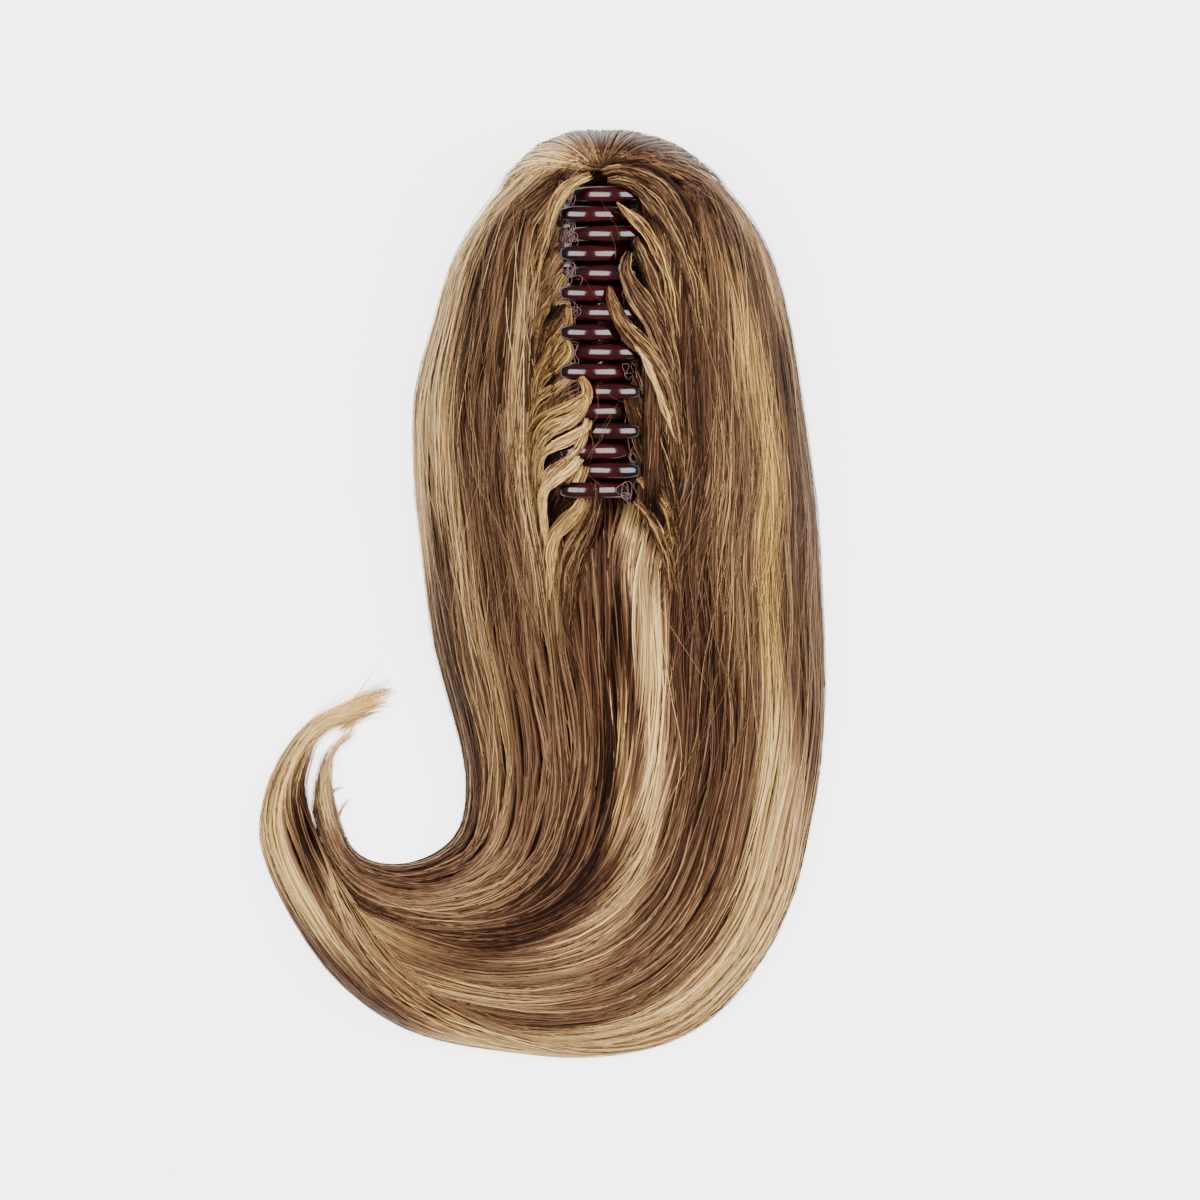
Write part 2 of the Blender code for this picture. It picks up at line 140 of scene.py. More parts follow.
# Where the parting meets the crown: shares of the way from the claw's end to the hair's end
WHORL_ALONG = 0.25
WHORL_REACH = 9.0 * MM
PARTING_LAP_DEG = 2.0
CORNER_PAST = 7.0 * MM
CORNER_CLEAR = 1.4 * MM

CLIP_ROWS = (
    # along, left, right, crest
    (0.000, 0.347, 0.374, 1.00),
    (0.084, 0.470, 0.552, 1.00),
    (0.229, 0.628, 0.736, 1.00),
    (0.423, 0.746, 0.862, 0.99),
    (0.680, 0.867, 0.967, 0.97),
    (1.000, 0.859, 1.076, 0.94),
)
TAIL_ROWS = (
    # inner_x, inner_y, outer_x, outer_y, left_end, right_start, crest, dip
    (-0.443, 0.000, 0.5240, 0.000, 0.372, 0.582, 0.93, 0.0),
    (-0.427, 0.108, 0.5330, 0.108, 0.374, 0.580, 0.84, 0.0),
    (-0.403, 0.250, 0.5420, 0.250, 0.375, 0.565, 0.73, 0.0),
    (-0.365, 0.357, 0.5450, 0.357, 0.370, 0.545, 0.65, 0.0),
    (-0.331, 0.455, 0.5350, 0.473, 0.360, 0.520, 0.59, 0.0),
    (-0.324, 0.526, 0.5110, 0.580, 0.345, 0.490, 0.55, 0.0),
    (-0.338, 0.585, 0.4680, 0.718, 0.330, 0.455, 0.52, 0.0),
    (-0.372, 0.620, 0.3700, 0.855, 0.315, 0.420, 0.49, 0.0),
    (-0.420, 0.642, 0.2160, 0.958, 0.300, 0.385, 0.46, 0.0),
    (-0.475, 0.654, 0.0120, 0.999, 0.285, 0.350, 0.43, 0.0),
    (-0.533, 0.654, -0.2280, 0.990, 0.275, 0.320, 0.40, 0.1),
    (-0.576, 0.644, -0.4560, 0.955, 0.274, 0.278, 0.36, 0.1),
    (-0.610, 0.622, -0.6290, 0.869, 0.280, 0.282, 0.32, 0.2),
    (-0.631, 0.585, -0.7490, 0.748, 0.297, 0.300, 0.27, 0.4),
    (-0.650, 0.532, -0.8210, 0.624, 0.300, 0.322, 0.22, 0.6),
    (-0.657, 0.490, -0.8160, 0.539, 0.250, 0.390, 0.18, 0.7),
    (-0.646, 0.450, -0.7800, 0.468, 0.200, 0.440, 0.14, 0.8),
    (-0.612, 0.420, -0.7200, 0.407, 0.080, 0.560, 0.10, 0.8),
    (-0.590, 0.386, -0.6420, 0.368, 0.040, 0.040, 0.08, 0.8),
    (-0.528, 0.353, -0.5380, 0.341, 0.020, 0.020, 0.05, 0.8),
)
INNER_TIP_ROW = 18
BACK_TIP_ROW = 11
ROW_STEPS = 8

# Streaks of lighter or darker hair. Each is a line of (x, y, half width) in pixels, how much lighter
# it makes the hair (below 0 darker), and how golden it is.
STREAKS = (
    # points, lift, gold
    (((560, 142, 8), (530, 160, 16), (496, 190, 17), (462, 236, 17), (444, 285, 16), (440, 330, 15),
      (426, 440, 12), (419, 500, 8), (420, 560, 6)), 0.55, 0.0),
    (((590, 160, 7), (560, 158, 9), (535, 168, 9), (510, 192, 7)), 0.20, 0.4),
    (((450, 330, 6), (450, 404, 6), (441, 459, 6), (455, 515, 6), (474, 607, 7), (500, 700, 6),
      (502, 741, 6), (505, 801, 6), (492, 850, 6), (468, 893, 6), (434, 922, 6), (395, 943, 6)), 0.36, 0.3),
    (((578, 183, 6), (549, 206, 8), (535, 239, 8), (526, 271, 10), (520, 330, 12), (521, 440, 12),
      (528, 515, 9), (540, 570, 6)), 0.22, 0.2),
    (((463, 680, 5), (488, 728, 5), (494, 770, 5)), 0.34, 0.2),
    (((583, 500, 5), (579, 518, 6), (561, 548, 7), (556, 590, 5)), 0.30, 0.6),
    (((630, 502, 8), (636, 552, 9), (646, 620, 14), (650, 640, 14), (656, 722, 9), (655, 805, 8),
      (643, 859, 8), (618, 901, 8), (582, 945, 8), (556, 968, 7), (516, 990, 6), (468, 1002, 5),
      (446, 999, 3)), 0.74, 0.3),
    (((618, 681, 4), (627, 772, 5), (622, 818, 5), (610, 859, 4)), 0.52, 0.9),
    (((695, 167, 3), (737, 209, 3), (764, 259, 3), (778, 305, 3)), 0.55, 0.1),
    (((676, 205, 8), (692, 232, 10), (692, 260, 10), (700, 300, 7)), 0.28, 0.9),
    (((702, 238, 5), (725, 271, 6), (741, 317, 8), (755, 362, 11), (769, 424, 13), (772, 472, 13),
      (766, 542, 12), (769, 613, 10), (772, 700, 8)), 0.27, 1.0),
    (((771, 440, 5), (770, 500, 6), (766, 550, 6), (767, 600, 5)), 0.12, 0.6),
    (((739, 340, 4), (738, 380, 4), (738, 430, 3)), 0.34, 0.2),
    (((716, 453, 6), (718, 495, 6), (723, 542, 6), (732, 601, 6), (742, 660, 6)), 0.20, 0.4),
    (((771, 680, 7), (777, 763, 15), (781, 805, 21), (778, 873, 24), (752, 940, 24), (706, 1003, 22),
      (651, 1036, 18), (569, 1052, 12), (500, 1050, 8), (462, 1048, 5)), 0.66, 0.3),
    (((392, 696, 14), (352, 708, 15), (316, 727, 15), (286, 756, 13), (272, 790, 13), (268, 825, 13),
      (276, 860, 12), (290, 891, 10), (312, 920, 8), (342, 948, 6)), 0.70, 0.4),
    (((347, 728, 5), (330, 755, 6), (323, 777, 6), (321, 801, 6), (327, 827, 5)), 0.55, 0.1),
    (((323, 862, 5), (332, 898, 5), (342, 922, 5), (356, 934, 4)), 0.55, 0.1),
    (((359, 917, 7), (381, 942, 8), (395, 971, 8), (420, 1007, 8), (451, 1034, 8),
      (472, 1044, 6)), 0.38, 0.9),
    (((301, 752, 7), (294, 775, 9), (290, 805, 9), (292, 835, 7)), -0.16, 0.0),
    (((618, 560, 5), (616, 640, 7), (610, 720, 8), (606, 800, 9), (597, 860, 8), (584, 890, 6)), -0.34, 0.0),
    (((600, 500, 14), (600, 560, 18), (600, 640, 16)), -0.08, 0.0),
    (((560, 870, 22), (545, 920, 26), (500, 960, 18), (450, 975, 12)), -0.21, 0.0),
    (((297, 818, 5), (303, 838, 7), (312, 858, 7), (322, 874, 4)), -0.26, 0.0),
    (((782, 354, 4), (794, 413, 4), (803, 472, 4)), -0.22, 0.0),
    (((701, 330, 10), (701, 410, 10), (700, 495, 9)), -0.12, 0.0),
    (((528, 190, 10), (500, 225, 12), (484, 265, 13), (478, 330, 19), (484, 400, 22), (490, 480, 20),
      (502, 560, 20), (508, 620, 20)), -0.07, 0.0),
    (((620, 160, 16), (660, 170, 20), (700, 200, 18), (740, 250, 14)), -0.20, 0.0),
    (((700, 540, 20), (712, 640, 24), (712, 730, 24), (706, 800, 22), (690, 880, 20)), -0.11, 0.0),
)
# The left edge of what shows of the left net, from the top down, in pixels
LEFT_NET_EDGE = ((556, 200), (553, 226), (557, 250), (562, 270), (565, 292), (570, 310),
                 (568, 340), (573, 364),
                 (580, 390), (584, 430), (580, 460), (572, 485), (578, 500))
# Shaded hollows between the locks at the roots: (x, y, half width) in pixels, and how much darker
HOLLOWS = (
    (((541, 320, 6), (553, 312, 8), (566, 305, 4)), 0.50),
    (((538, 330, 7), (540, 360, 8)), 0.14),
    (((540, 396, 8), (550, 385, 9), (560, 373, 6)), 0.36),
    (((542, 426, 5), (557, 417, 6), (572, 409, 4)), 0.40),
    (((545, 462, 4), (560, 455, 5)), 0.30),
    (((549, 524, 10), (561, 507, 12), (572, 495, 7)), 0.44),
    (((652, 500, 5), (660, 508, 5)), 0.34),
    (((650, 512, 6), (660, 528, 6)), 0.34),
)
# Locks at the roots beside the claw: a line of (x, y, half width) in pixels, number of strands,
# tone, how golden, and whether the lock lies over both jaws
LEFT_LOCKS = (
    # line, strands, tone, gold, over
    (((592, 178, 5), (574, 186, 6), (558, 203, 7), (547, 232, 7), (537, 262, 7),
      (531, 300, 6)), 120, 0.64, 0.4, 1),
    (((556, 226, 4), (549, 245, 6), (542, 268, 7), (537, 296, 7), (533, 336, 6)), 90, 0.66, 0.2, 0),
    (((561, 255, 5), (552, 268, 8), (543, 281, 8), (536, 298, 7), (532, 326, 6)), 100, 0.62, 0.1, 0),
    (((564, 276, 5), (556, 290, 7), (546, 304, 7), (537, 320, 6), (533, 350, 5)), 110, 0.68, 0.2, 0),
    (((571, 306, 2), (562, 303, 3), (549, 307, 3), (539, 319, 3), (534, 340, 3)), 50, 0.60, 0.5, 0),
    (((570, 309, 3), (567, 326, 6), (557, 343, 7), (547, 359, 7), (537, 378, 6),
      (532, 410, 4)), 130, 0.60, 0.8, 0),
    (((566, 342, 3), (569, 354, 5), (558, 367, 6), (545, 377, 6), (534, 392, 5)), 90, 0.62, 0.9, 0),
    (((574, 364, 3), (569, 378, 5), (553, 391, 7), (538, 402, 7), (531, 424, 5)), 110, 0.66, 0.4, 0),
    (((581, 378, 2), (587, 396, 6), (573, 412, 10), (552, 420, 11), (537, 434, 9),
      (533, 462, 6)), 210, 0.66, 0.8, 1),
    (((586, 394, 3), (584, 410, 5), (567, 424, 6), (549, 434, 6), (537, 449, 5),
      (535, 480, 4)), 120, 0.70, 0.5, 1),
    (((589, 420, 4), (584, 431, 5), (569, 441, 5), (552, 448, 5), (540, 460, 4),
      (538, 492, 4)), 130, 0.80, 0.5, 1),
    (((586, 430, 3), (581, 444, 4), (573, 456, 4), (560, 467, 5), (546, 479, 5),
      (541, 506, 4)), 100, 0.70, 0.4, 1),
    (((581, 458, 5), (571, 469, 6), (556, 479, 6), (545, 491, 5), (543, 514, 4),
      (547, 545, 3)), 140, 0.86, 0.6, 1),
    (((583, 466, 6), (581, 474, 7), (577, 483, 7), (570, 494, 6)), 80, 0.80, 0.6, 0),
    (((586, 494, 5), (579, 509, 7), (566, 523, 8), (554, 538, 8), (550, 562, 6),
      (552, 600, 4)), 170, 0.74, 0.6, 0),
    (((592, 494, 4), (590, 512, 5), (581, 530, 6), (570, 548, 6), (562, 575, 6),
      (560, 612, 4)), 120, 0.50, 0.4, 0),
    (((599, 494, 4), (598, 515, 5), (592, 536, 5), (582, 556, 5), (574, 590, 5),
      (571, 640, 3)), 90, 0.36, 0.2, 0),
)
RIGHT_LOCKS = (
    (((600, 174, 5), (620, 170, 8), (648, 178, 11), (676, 203, 12), (694, 244, 10),
      (699, 290, 7)), 190, 0.32, 0.0, 1),
    (((606, 184, 3), (626, 184, 6), (650, 198, 10), (671, 228, 11), (685, 262, 10), (694, 300, 8),
      (697, 336, 6)),
     190, 0.26, 0.0, 1),
    (((640, 198, 4), (656, 214, 6), (672, 240, 7), (682, 268, 7), (690, 300, 6)), 80, 0.40, 0.2, 1),
    (((616, 205, 1), (626, 215, 4), (641, 228, 6), (654, 247, 6), (664, 270, 5), (672, 300, 6),
      (677, 340, 5)),
     150, 0.50, 0.6, 1),
    (((634, 240, 4), (644, 262, 7), (655, 290, 8), (665, 320, 8), (673, 356, 7),
      (679, 400, 5)), 130, 0.30, 0.1, 1),
    (((629, 254, 2), (625, 272, 6), (634, 294, 10), (650, 318, 11), (664, 348, 10), (675, 386, 8),
      (681, 430, 6)),
     220, 0.34, 0.1, 1),
    (((609, 288, 2), (612, 304, 5), (622, 325, 8), (637, 343, 9), (654, 360, 9), (668, 388, 8), (677, 430, 7),
      (684, 480, 5)), 240, 0.42, 0.5, 1),
    (((610, 292, 1), (611, 305, 2), (617, 322, 2), (630, 341, 2), (644, 356, 3)), 40, 0.60, 0.5, 1),
    (((634, 346, 1), (646, 363, 3), (657, 386, 4), (665, 408, 4), (671, 426, 3),
      (677, 446, 1)), 90, 0.95, 0.3, 1),
    (((627, 384, 4), (636, 424, 8), (647, 456, 8), (660, 482, 7), (670, 510, 6),
      (676, 545, 5)), 170, 0.24, 0.5, 0),
    (((634, 372, 4), (645, 404, 7), (657, 438, 8), (667, 470, 7), (675, 510, 6)), 150, 0.20, 0.3, 0),
    (((640, 440, 4), (650, 464, 5), (660, 488, 5), (668, 516, 4)), 70, 0.34, 0.6, 0),
    (((636, 478, 3), (648, 488, 5), (660, 499, 5), (669, 518, 5), (675, 545, 4)), 100, 0.56, 0.8, 0),
    (((634, 500, 3), (646, 514, 5), (658, 534, 6), (667, 560, 6), (674, 596, 5)), 110, 0.50, 0.6, 0),
)
# Tufts that leave the curl's inner edge and its inner tip: (x, y, half width) in pixels, strands
TUFTS = (
    (((322, 846, 4), (330, 828, 2), (339, 810, 1), (348, 800, 1)), 26),
    (((321, 806, 4), (327, 796, 2), (334, 791, 1), (343, 789, 1)), 22),
    (((313, 822, 7), (317, 790, 5), (323, 768, 3), (332, 750, 2), (345, 733, 1)), 60),
    (((342, 716, 8), (360, 703, 7), (374, 695, 4), (391, 690, 2)), 90),
    (((336, 724, 7), (356, 713, 6), (370, 708, 4), (384, 703, 2)), 70),
    (((332, 734, 5), (352, 722, 4), (366, 716, 2), (380, 712, 1)), 50),
)
# How high the root locks lie over the claw and its net, and where they come down onto the hair past
# the claw's two ends
ROOT_CLEAR = 1.0 * MM
ROOT_RAMP = 6.0 * MM
NET_CLEAR = 2.0 * MM
NET_FROM = 8.0 * MM
NET_RAMP = 4.5 * MM
LOW_END = 54.5 * MM
HIGH_END = 55.5 * MM
END_RAMP = 17.0 * MM
TOP_RAMP = 8.0 * MM
MIDDLE_LEFT = -12.5 * MM
MIDDLE_RIGHT = 17.9 * MM
MIDDLE_RAMP = 5.0 * MM

# Tufts and feathered ends of the curl
TUFT_HEIGHT = 5.0 * MM
TUFT_HALF = 0.11 * MM
TUFT_TONE = 0.80
WISP_HALF = 0.11 * MM
WISP_TONE = 0.50
WISP_SPREAD = 0.2

# Locks at the roots, each parted into smaller ones
LOCK_CROWN = 0.5 * MM
LOCK_DEPTH = 1.3 * MM
LOCK_HALF = 0.15 * MM
LEFT_LIFT = 0.05
LOCK_SPREAD = 1.5
LOCK_RAGGED = 0.42
LOCK_LEAN = 0.35
ROOT_WIDTHS = (0.6, 1.2)
SUB_LOCKS = 8
SUB_PINCH = 0.28
SUB_WAVE = 0.30 * MM
SUB_TONE = 0.09

# Strands beside the jaws
LEFT_BESIDE_TONE = 0.46
LEFT_BESIDE_GOLD = 0.5
RIGHT_BESIDE_TONE = 0.27
RIGHT_BESIDE_GOLD = 0.2
BESIDE_NEAR = 13.6 * MM
BESIDE_DEPTH = 2.6 * MM

# Threads of the net, and its loose loops round the teeth
NET_PITCH = 3.4 * MM
NET_SLANT = 9.0 * MM
NET_OUTSIDE = 1.6 * MM
NET_THREAD = 0.10 * MM
NET_PLACES = 20
THREAD_SIDES = 3
LEFT_LOOPS = 15
RIGHT_LOOPS = 5
LOOP_SIZE_MM = (1.2, 3.2)
LOOP_REACH_MM = 3.6
LOOP_BELOW_DEG = 19.0
LOOP_ABOVE_DEG = 4.0
LOOP_BEND = (0.5, 1.4)
LOOP_WOBBLE = 0.18

# Materials: the plastic is painted redder in the middle of the teeth, a painted glow of light coming through
# it
PAINTED_GLOW_REACH = 12.0 * MM
PAINTED_GLOW_LIFT = 0.45
PLASTIC_ROUGHNESS = 0.13
PLASTIC_IOR = 1.53
PLASTIC_NOISE = 90.0
PLASTIC_STOPS = (
    # position, colour
    (0.42, (0.0030, 0.0004, 0.0006, 1.0)),
    (0.95, (0.030, 0.0010, 0.0016, 1.0)),
)
NOISE_DETAIL = 3.0
HAIR_NOISE = 420.0
HAIR_MOTTLE = 0.20
STRAND_ROUGHNESS = 0.48
STRAND_LEVEL = 0.51
# The hair under the strands is the strands' material made darker: painted shade
UNDER_ROUGHNESS = 0.6
UNDER_SHADE_LEVEL = 0.22
HAIR_SPECULAR = 0.08
HAIR_SHINE = (1.0, 0.80, 0.60, 1.0)
MOTTLED = {
    # colour, noise, low, high, roughness, metallic
    "spring_steel": ((0.55, 0.55, 0.57), 700.0, 0.8, 1.15, 0.3, 1.0),
    "crochet_net": ((0.235, 0.135, 0.125), 900.0, 0.55, 1.5, 0.85),
    # The net's lining is a dark sheet of painted shade
    "net_shade_lining": ((0.016, 0.008, 0.007), 1500.0, 0.5, 1.6, 0.9),
}

# Tone of a strand, from the darkest gaps to the palest highlights, as it looks in plain light
TONES = (
    # tone, red, green, blue
    (0.00, 40, 22, 12),
    (0.15, 72, 47, 31),
    (0.30, 111, 81, 60),
    (0.50, 150, 123, 92),
    (0.70, 190, 161, 116),
    (0.90, 233, 204, 142),
    (1.00, 255, 230, 168),
)
LUMINANCE = (0.2126, 0.7152, 0.0722)
RICHNESS = 1.25
CONTRAST = 1.30
MIDDLE_LIGHT = 0.25
GOLD_TINT = (1.07, 0.955, 0.72)
ASH_TINT = (1.02, 0.975, 1.07)

# How the tone varies from strand to strand, along a strand and in the streaks
BASE_TONE = 0.36
CENTRE_TONE = 0.31
OWN_TONE = 0.11
PALE_SHARE = 0.13
PALE_LIFT = 0.20
DARK_SHARE = 0.14
DARK_DROP = 0.20
LOCK_TONE = 0.09
FINE_TONE = 0.06
# Painted shade: strands at the edges of a lock and low in the layers are darker
LOCK_EDGE_SHADE = 0.16
LAYER_SHADE = 0.10
TONE_LENGTH = 90 * MM
TONE_WAVE = 0.035
GOLD_SPREAD = 0.25
STREAK_GAIN = 1.12
STREAK_CONTRAST = 1.5
STREAK_LEAST = 0.80
STREAK_MORE = 0.4
STREAK_FULL = 0.7
STREAK_SPREAD = 1.0 * MM
STREAK_SMOOTH = 2
PALE_LIMIT = 0.90

# Where strands leave the tail's outer edge for the curl's tip, and where they have spread out
BAND_FIRST_ROW = 7
BAND_LAST_ROW = 10
BAND_OPEN_ROW = 13
SWIRL_END_ROW = 10

# Where the strands of the falls, the swirl and the middle begin and end, and how much room they have
FALL_RAGGED = 1.1
FALL_RAGGED_REACH = 75 * MM
FALL_START = 2.0 * MM
FALL_START_SPAN = 38.0 * MM
START_RAGGED_MM = (-6, 4)
FALL_TURN = 8.0 * MM
FALL_TURN_SPAN = 26.0 * MM
FULL_BREADTH = 24.0 * MM
LEAST_ROOM = 0.15
SWIRL_SPAN = 39.6 * MM
SWIRL_RAGGED = 30 * MM
SWIRL_SHARE = 0.85
BAND_RAGGED = 45 * MM
BAND_EDGE = 0.86
CENTRE_RAGGED = 90 * MM
CENTRE_SPREAD = (-0.10, 1.10)

# Strands over the front of the crown
CROWN_CROWDING = 1.35
CROWN_TIP = 0.01
CROWN_DRIFT_MM = (-3, 20)
CROWN_START = (-0.05, 0.12)
CROWN_BEGIN = -14 * MM

# Stray hairs, and the hairs over the teeth
STRAY_CROSSING = 0.14
STRAY_HEIGHT = 1.2 * MM
STRAY_HALF = 0.075 * MM
STRAY_SWAY = 1.6 * MM
STRAY_TONE = 0.5
TOOTH_HAIR_HALF = 0.045 * MM

# Strands over the dome: how they gather in locks, how wide they are and how they wander
LOCKS_ACROSS = 22
LOCK_RELIEF = 1.3 * MM
RIDE_DEPTH = 1.4 * MM
STRAND_HALF = 0.21 * MM
WIDTHS = (0.6, 1.25)
SWAY_LENGTH = 190 * MM
LIFT_LENGTH = 110 * MM
LIFT_SIZE = 0.08 * MM
LOCK_WAVE = 0.9 * MM
LOCK_PITCH_MM = (55, 110)
ROOT_TAPER = 0.06
RIDE_HEIGHT = 0.5 * MM
STRAND_SWAY = 0.32 * MM
STRAND_TIP = 0.25
LOCK_CLUMP = 0.5
LOCK_WIDTH = 3.2 * MM
LOWEST = 0.3 * MM
EDGE_LOWEST = 0.15 * MM
NORMAL_STEP = 0.5 * MM
NORMAL_STEP_DEG = 1.0
FINE_LOCKS = 5
TILT_DEG = 28.0


def px(x, y):
    """The plan point below a pixel."""
    return (x - ORIGIN_PX[0]) * PIXEL, (ORIGIN_PX[1] - y) * PIXEL


def lerp(a, b, share):
    return a + (b - a) * share


def ease(t):
    t = np.clip(t, 0.0, 1.0)
    return t * t * (3.0 - 2.0 * t)


def between(rows, steps):
    """The rows with steps - 1 more in each gap, on a smooth curve through each column."""
    rows = np.array(rows, dtype=float)
    made = []
    for i in range(len(rows) - 1):
        a, b = rows[max(i - 1, 0)], rows[i]
        c, d = rows[i + 1], rows[min(i + 2, len(rows) - 1)]
        for step in range(steps):
            t = step / steps
            slope, bend, twist = c - a, 2 * a - 5 * b + 4 * c - d, 3 * b - a - 3 * c + d
            made.append(b + 0.5 * (slope * t + bend * t**2 + twist * t**3))
    made.append(rows[-1])
    return np.array(made)


def linear(colour):
    """Linear light of a colour given in screen values of 0 to 255."""
    value = np.asarray(colour, dtype=float) / 255.0
    return np.where(value <= 0.04045, value / 12.92, ((value + 0.055) / 1.055) ** 2.4)


def angle_of_share(share):
    """The angle on the dome of a place across it, from -90 degrees at its left edge to 90."""
    off = 2.0 * share - 1.0
    return np.sign(off) * np.arcsin(np.clip(np.abs(off), 0.0, 1.0) ** (DOME_CORNER / 2))


def mantle_rows():
    """The hair's sections by distance along it: the crown below 0, then the claw and the tail."""
    clip = between(CLIP_ROWS, ROW_STEPS)
    half = HAIR_WIDTH / 2
    rows = []
    for along, left, right, crest in clip:
        y = lerp(HAIR_END, -HAIR_END, along)
        low_x, high_x = -lerp(CLIP_SIDE, half, left), lerp(JAW_SWEEP, half, right)
        left_end = (-CLIP_SIDE - low_x) / (high_x - low_x)
        right_start = (JAW_SWEEP - low_x) / (high_x - low_x)
        rows.append((low_x, y, high_x, y, left_end, right_start, crest, LEFT_ROOT_DIP, RIGHT_ROOT_DIP))
    top, low = -HAIR_END - 2 * HAIR_GAP, -CLIP_HALF - TAIL_LENGTH
    for row in between(TAIL_ROWS, ROW_STEPS):
        edges = row[0] * HAIR_WIDTH, lerp(top, low, row[1]), row[2] * HAIR_WIDTH, lerp(top, low, row[3])
        rows.append((*edges, *row[4:7], row[7], row[7]))
    rows = np.array(rows)
    middle = (rows[:, 0:2] + rows[:, 2:4]) / 2
    along = np.concatenate([[0.0], np.cumsum(np.linalg.norm(np.diff(middle, axis=0), axis=1))])
    return rows, middle, along


def crown_edge(side, full, count):
    """Points along the crown's outline, from the middle of its upper end to the claw's end."""
    outline = between(CROWN_OUTLINE, ROW_STEPS)
    x = side * outline[:, 0] * full
    y = HAIR_END + (CLIP_HALF + CROWN_LENGTH - HAIR_END) * outline[:, 1]
    length = np.concatenate([[0.0], np.cumsum(np.hypot(np.diff(x), np.diff(y)))])
    at = np.linspace(0.0, length[-1], count)
    return np.stack([np.interp(at, length, x), np.interp(at, length, y)], axis=1), length[-1]


def build_mantle():
    """One table by distance along the hair, crown and all."""
    rows, middle, along = mantle_rows()
    count = 3 * ROW_STEPS
    left_edge, left_length = crown_edge(-1, -rows[0, 0], count)
    right_edge, right_length = crown_edge(1, rows[0, 2], count)
    length = (left_length + right_length) / 2
    crown_along = np.linspace(-length, 0.0, count)
    share = ease(-crown_along / WHORL_REACH)[:, None]
    whorl = np.array([0.0, lerp(HAIR_END, CLIP_HALF + CROWN_LENGTH, WHORL_ALONG)])
    crown_middle = lerp(middle[0][None, :], whorl[None, :], share)
    crown = np.zeros((count, rows.shape[1]))
    crown[:, 0:2] = left_edge
    crown[:, 2:4] = right_edge
    crown[:, 4] = rows[0, 4]
    crown[:, 5] = rows[0, 5]
    crown[:, 6] = 1.0
    crown[:, 7:9] = PARTING_DIP
    table = np.concatenate([crown[:-1], rows])
    whole = np.concatenate([crown_along[:-1], along])
    first, last = 2 * HAIR_END - JOIN_BEFORE, 2 * HAIR_END + JOIN_AFTER
    inside = (whole > first) & (whole < last)
    for k in (4, 5, 7, 8):
        ends = [np.interp(at, whole, table[:, k]) for at in (first, last)]
        table[inside, k] = lerp(ends[0], ends[1], ease((whole[inside] - first) / (last - first)))
    return {
        "along": whole,
        "middle": np.concatenate([crown_middle[:-1], middle]),
        "table": table,
        "crown": length,
        "end": along[-1],
    }


MANTLE = build_mantle()
FIRST_TAIL = MANTLE["along"][np.argmax(MANTLE["table"][:, 1] < -HAIR_END)]
CLIP_RUN = 2 * HAIR_END


def column(along, k):
    return np.interp(along, MANTLE["along"], MANTLE["table"][:, k])


def row_distance(row):
    """Distance along the hair of a row of TAIL_ROWS."""
    first = len(MANTLE["along"]) - (len(TAIL_ROWS) - 1) * ROW_STEPS - 1
    return MANTLE["along"][first + row * ROW_STEPS]


def inner_angle(along, side):
    """The angle on the dome of a fall's inner edge. Over the crown it closes up to the parting."""
    share = column(along, 4 if side < 0 else 5)
    angle = angle_of_share(share)
    past = CORNER_PAST if side < 0 else 0.0
    open_share = ease((along + WHORL_REACH) / (WHORL_REACH + past))
    parting = -side * math.radians(PARTING_LAP_DEG)
    return lerp(parting, angle, open_share)


def surface(along, angle):
    """Points of the dome of hair at distances along it and angles across it."""
    middle = np.stack([np.interp(along, MANTLE["along"], MANTLE["middle"][:, k]) for k in (0, 1)], -1)
    left = np.stack([column(along, 0), column(along, 1)], -1)
    right = np.stack([column(along, 2), column(along, 3)], -1)
    edge = np.where((angle < 0)[..., None], left, right)
    off = np.abs(np.sin(angle)) ** (2 / DOME_CORNER)
    plan = middle + (edge - middle) * off[..., None]
    height = HAIR_DEPTH * column(along, 6) * np.maximum(np.cos(angle), 0.0)
    return plan, height


def dipped(along, angle, height):
    """The height with the inner edges of the two falls rounded off."""
    for side, k in ((-1, 7), (1, 8)):
        inner = inner_angle(along, side)
        across = np.clip((angle - inner) / (side * math.pi / 2 - inner), 0.0, 1.0)
        mine = (angle * side >= inner * side) if side > 0 else (angle <= inner)
        drop = column(along, k) * (1.0 - across) ** DIP_SHARPNESS
        height = np.where(mine, height * (1.0 - drop), height)
    return height


def claw_height(x, side, radius):
    """Height of the round outside of a jaw above a place across the claw."""
    off = np.clip(np.abs(x - side * -JAW_CROSSING) / radius, 0.0, 1.0)
    return PIN_HEIGHT + JAW_RISE + radius * np.sqrt(1.0 - off**2)


def dome(along, angle, rise=1.0):
    plan, height = surface(along, angle)
    height = dipped(along, angle, height) * rise
    corner = (plan[..., 0] > -CLIP_SIDE) & (plan[..., 0] < 0.0) & (np.abs(plan[..., 1]) < HAIR_END)
    on_claw = claw_height(plan[..., 0], -1, JAW_RADIUS + CORNER_CLEAR)
    height = np.where(corner, np.maximum(height, on_claw), height)
    return np.concatenate([plan, height[..., None]], axis=-1)


def unit(vectors):
    return vectors / np.maximum(np.linalg.norm(vectors, axis=-1, keepdims=True), 1e-12)


def normals(along, angle):
    """Outward directions of the dome."""
    step_along, step_angle = NORMAL_STEP, math.radians(NORMAL_STEP_DEG)
    low = np.clip(angle - step_angle, -math.pi / 2, math.pi / 2)
    high = np.clip(angle + step_angle, -math.pi / 2, math.pi / 2)
    down = dome(along + step_along, angle) - dome(along - step_along, angle)
    across = dome(along, high) - dome(along, low)
    made = unit(np.cross(across, -down))
    return np.where(made[..., 2:3] < 0, -made, made)


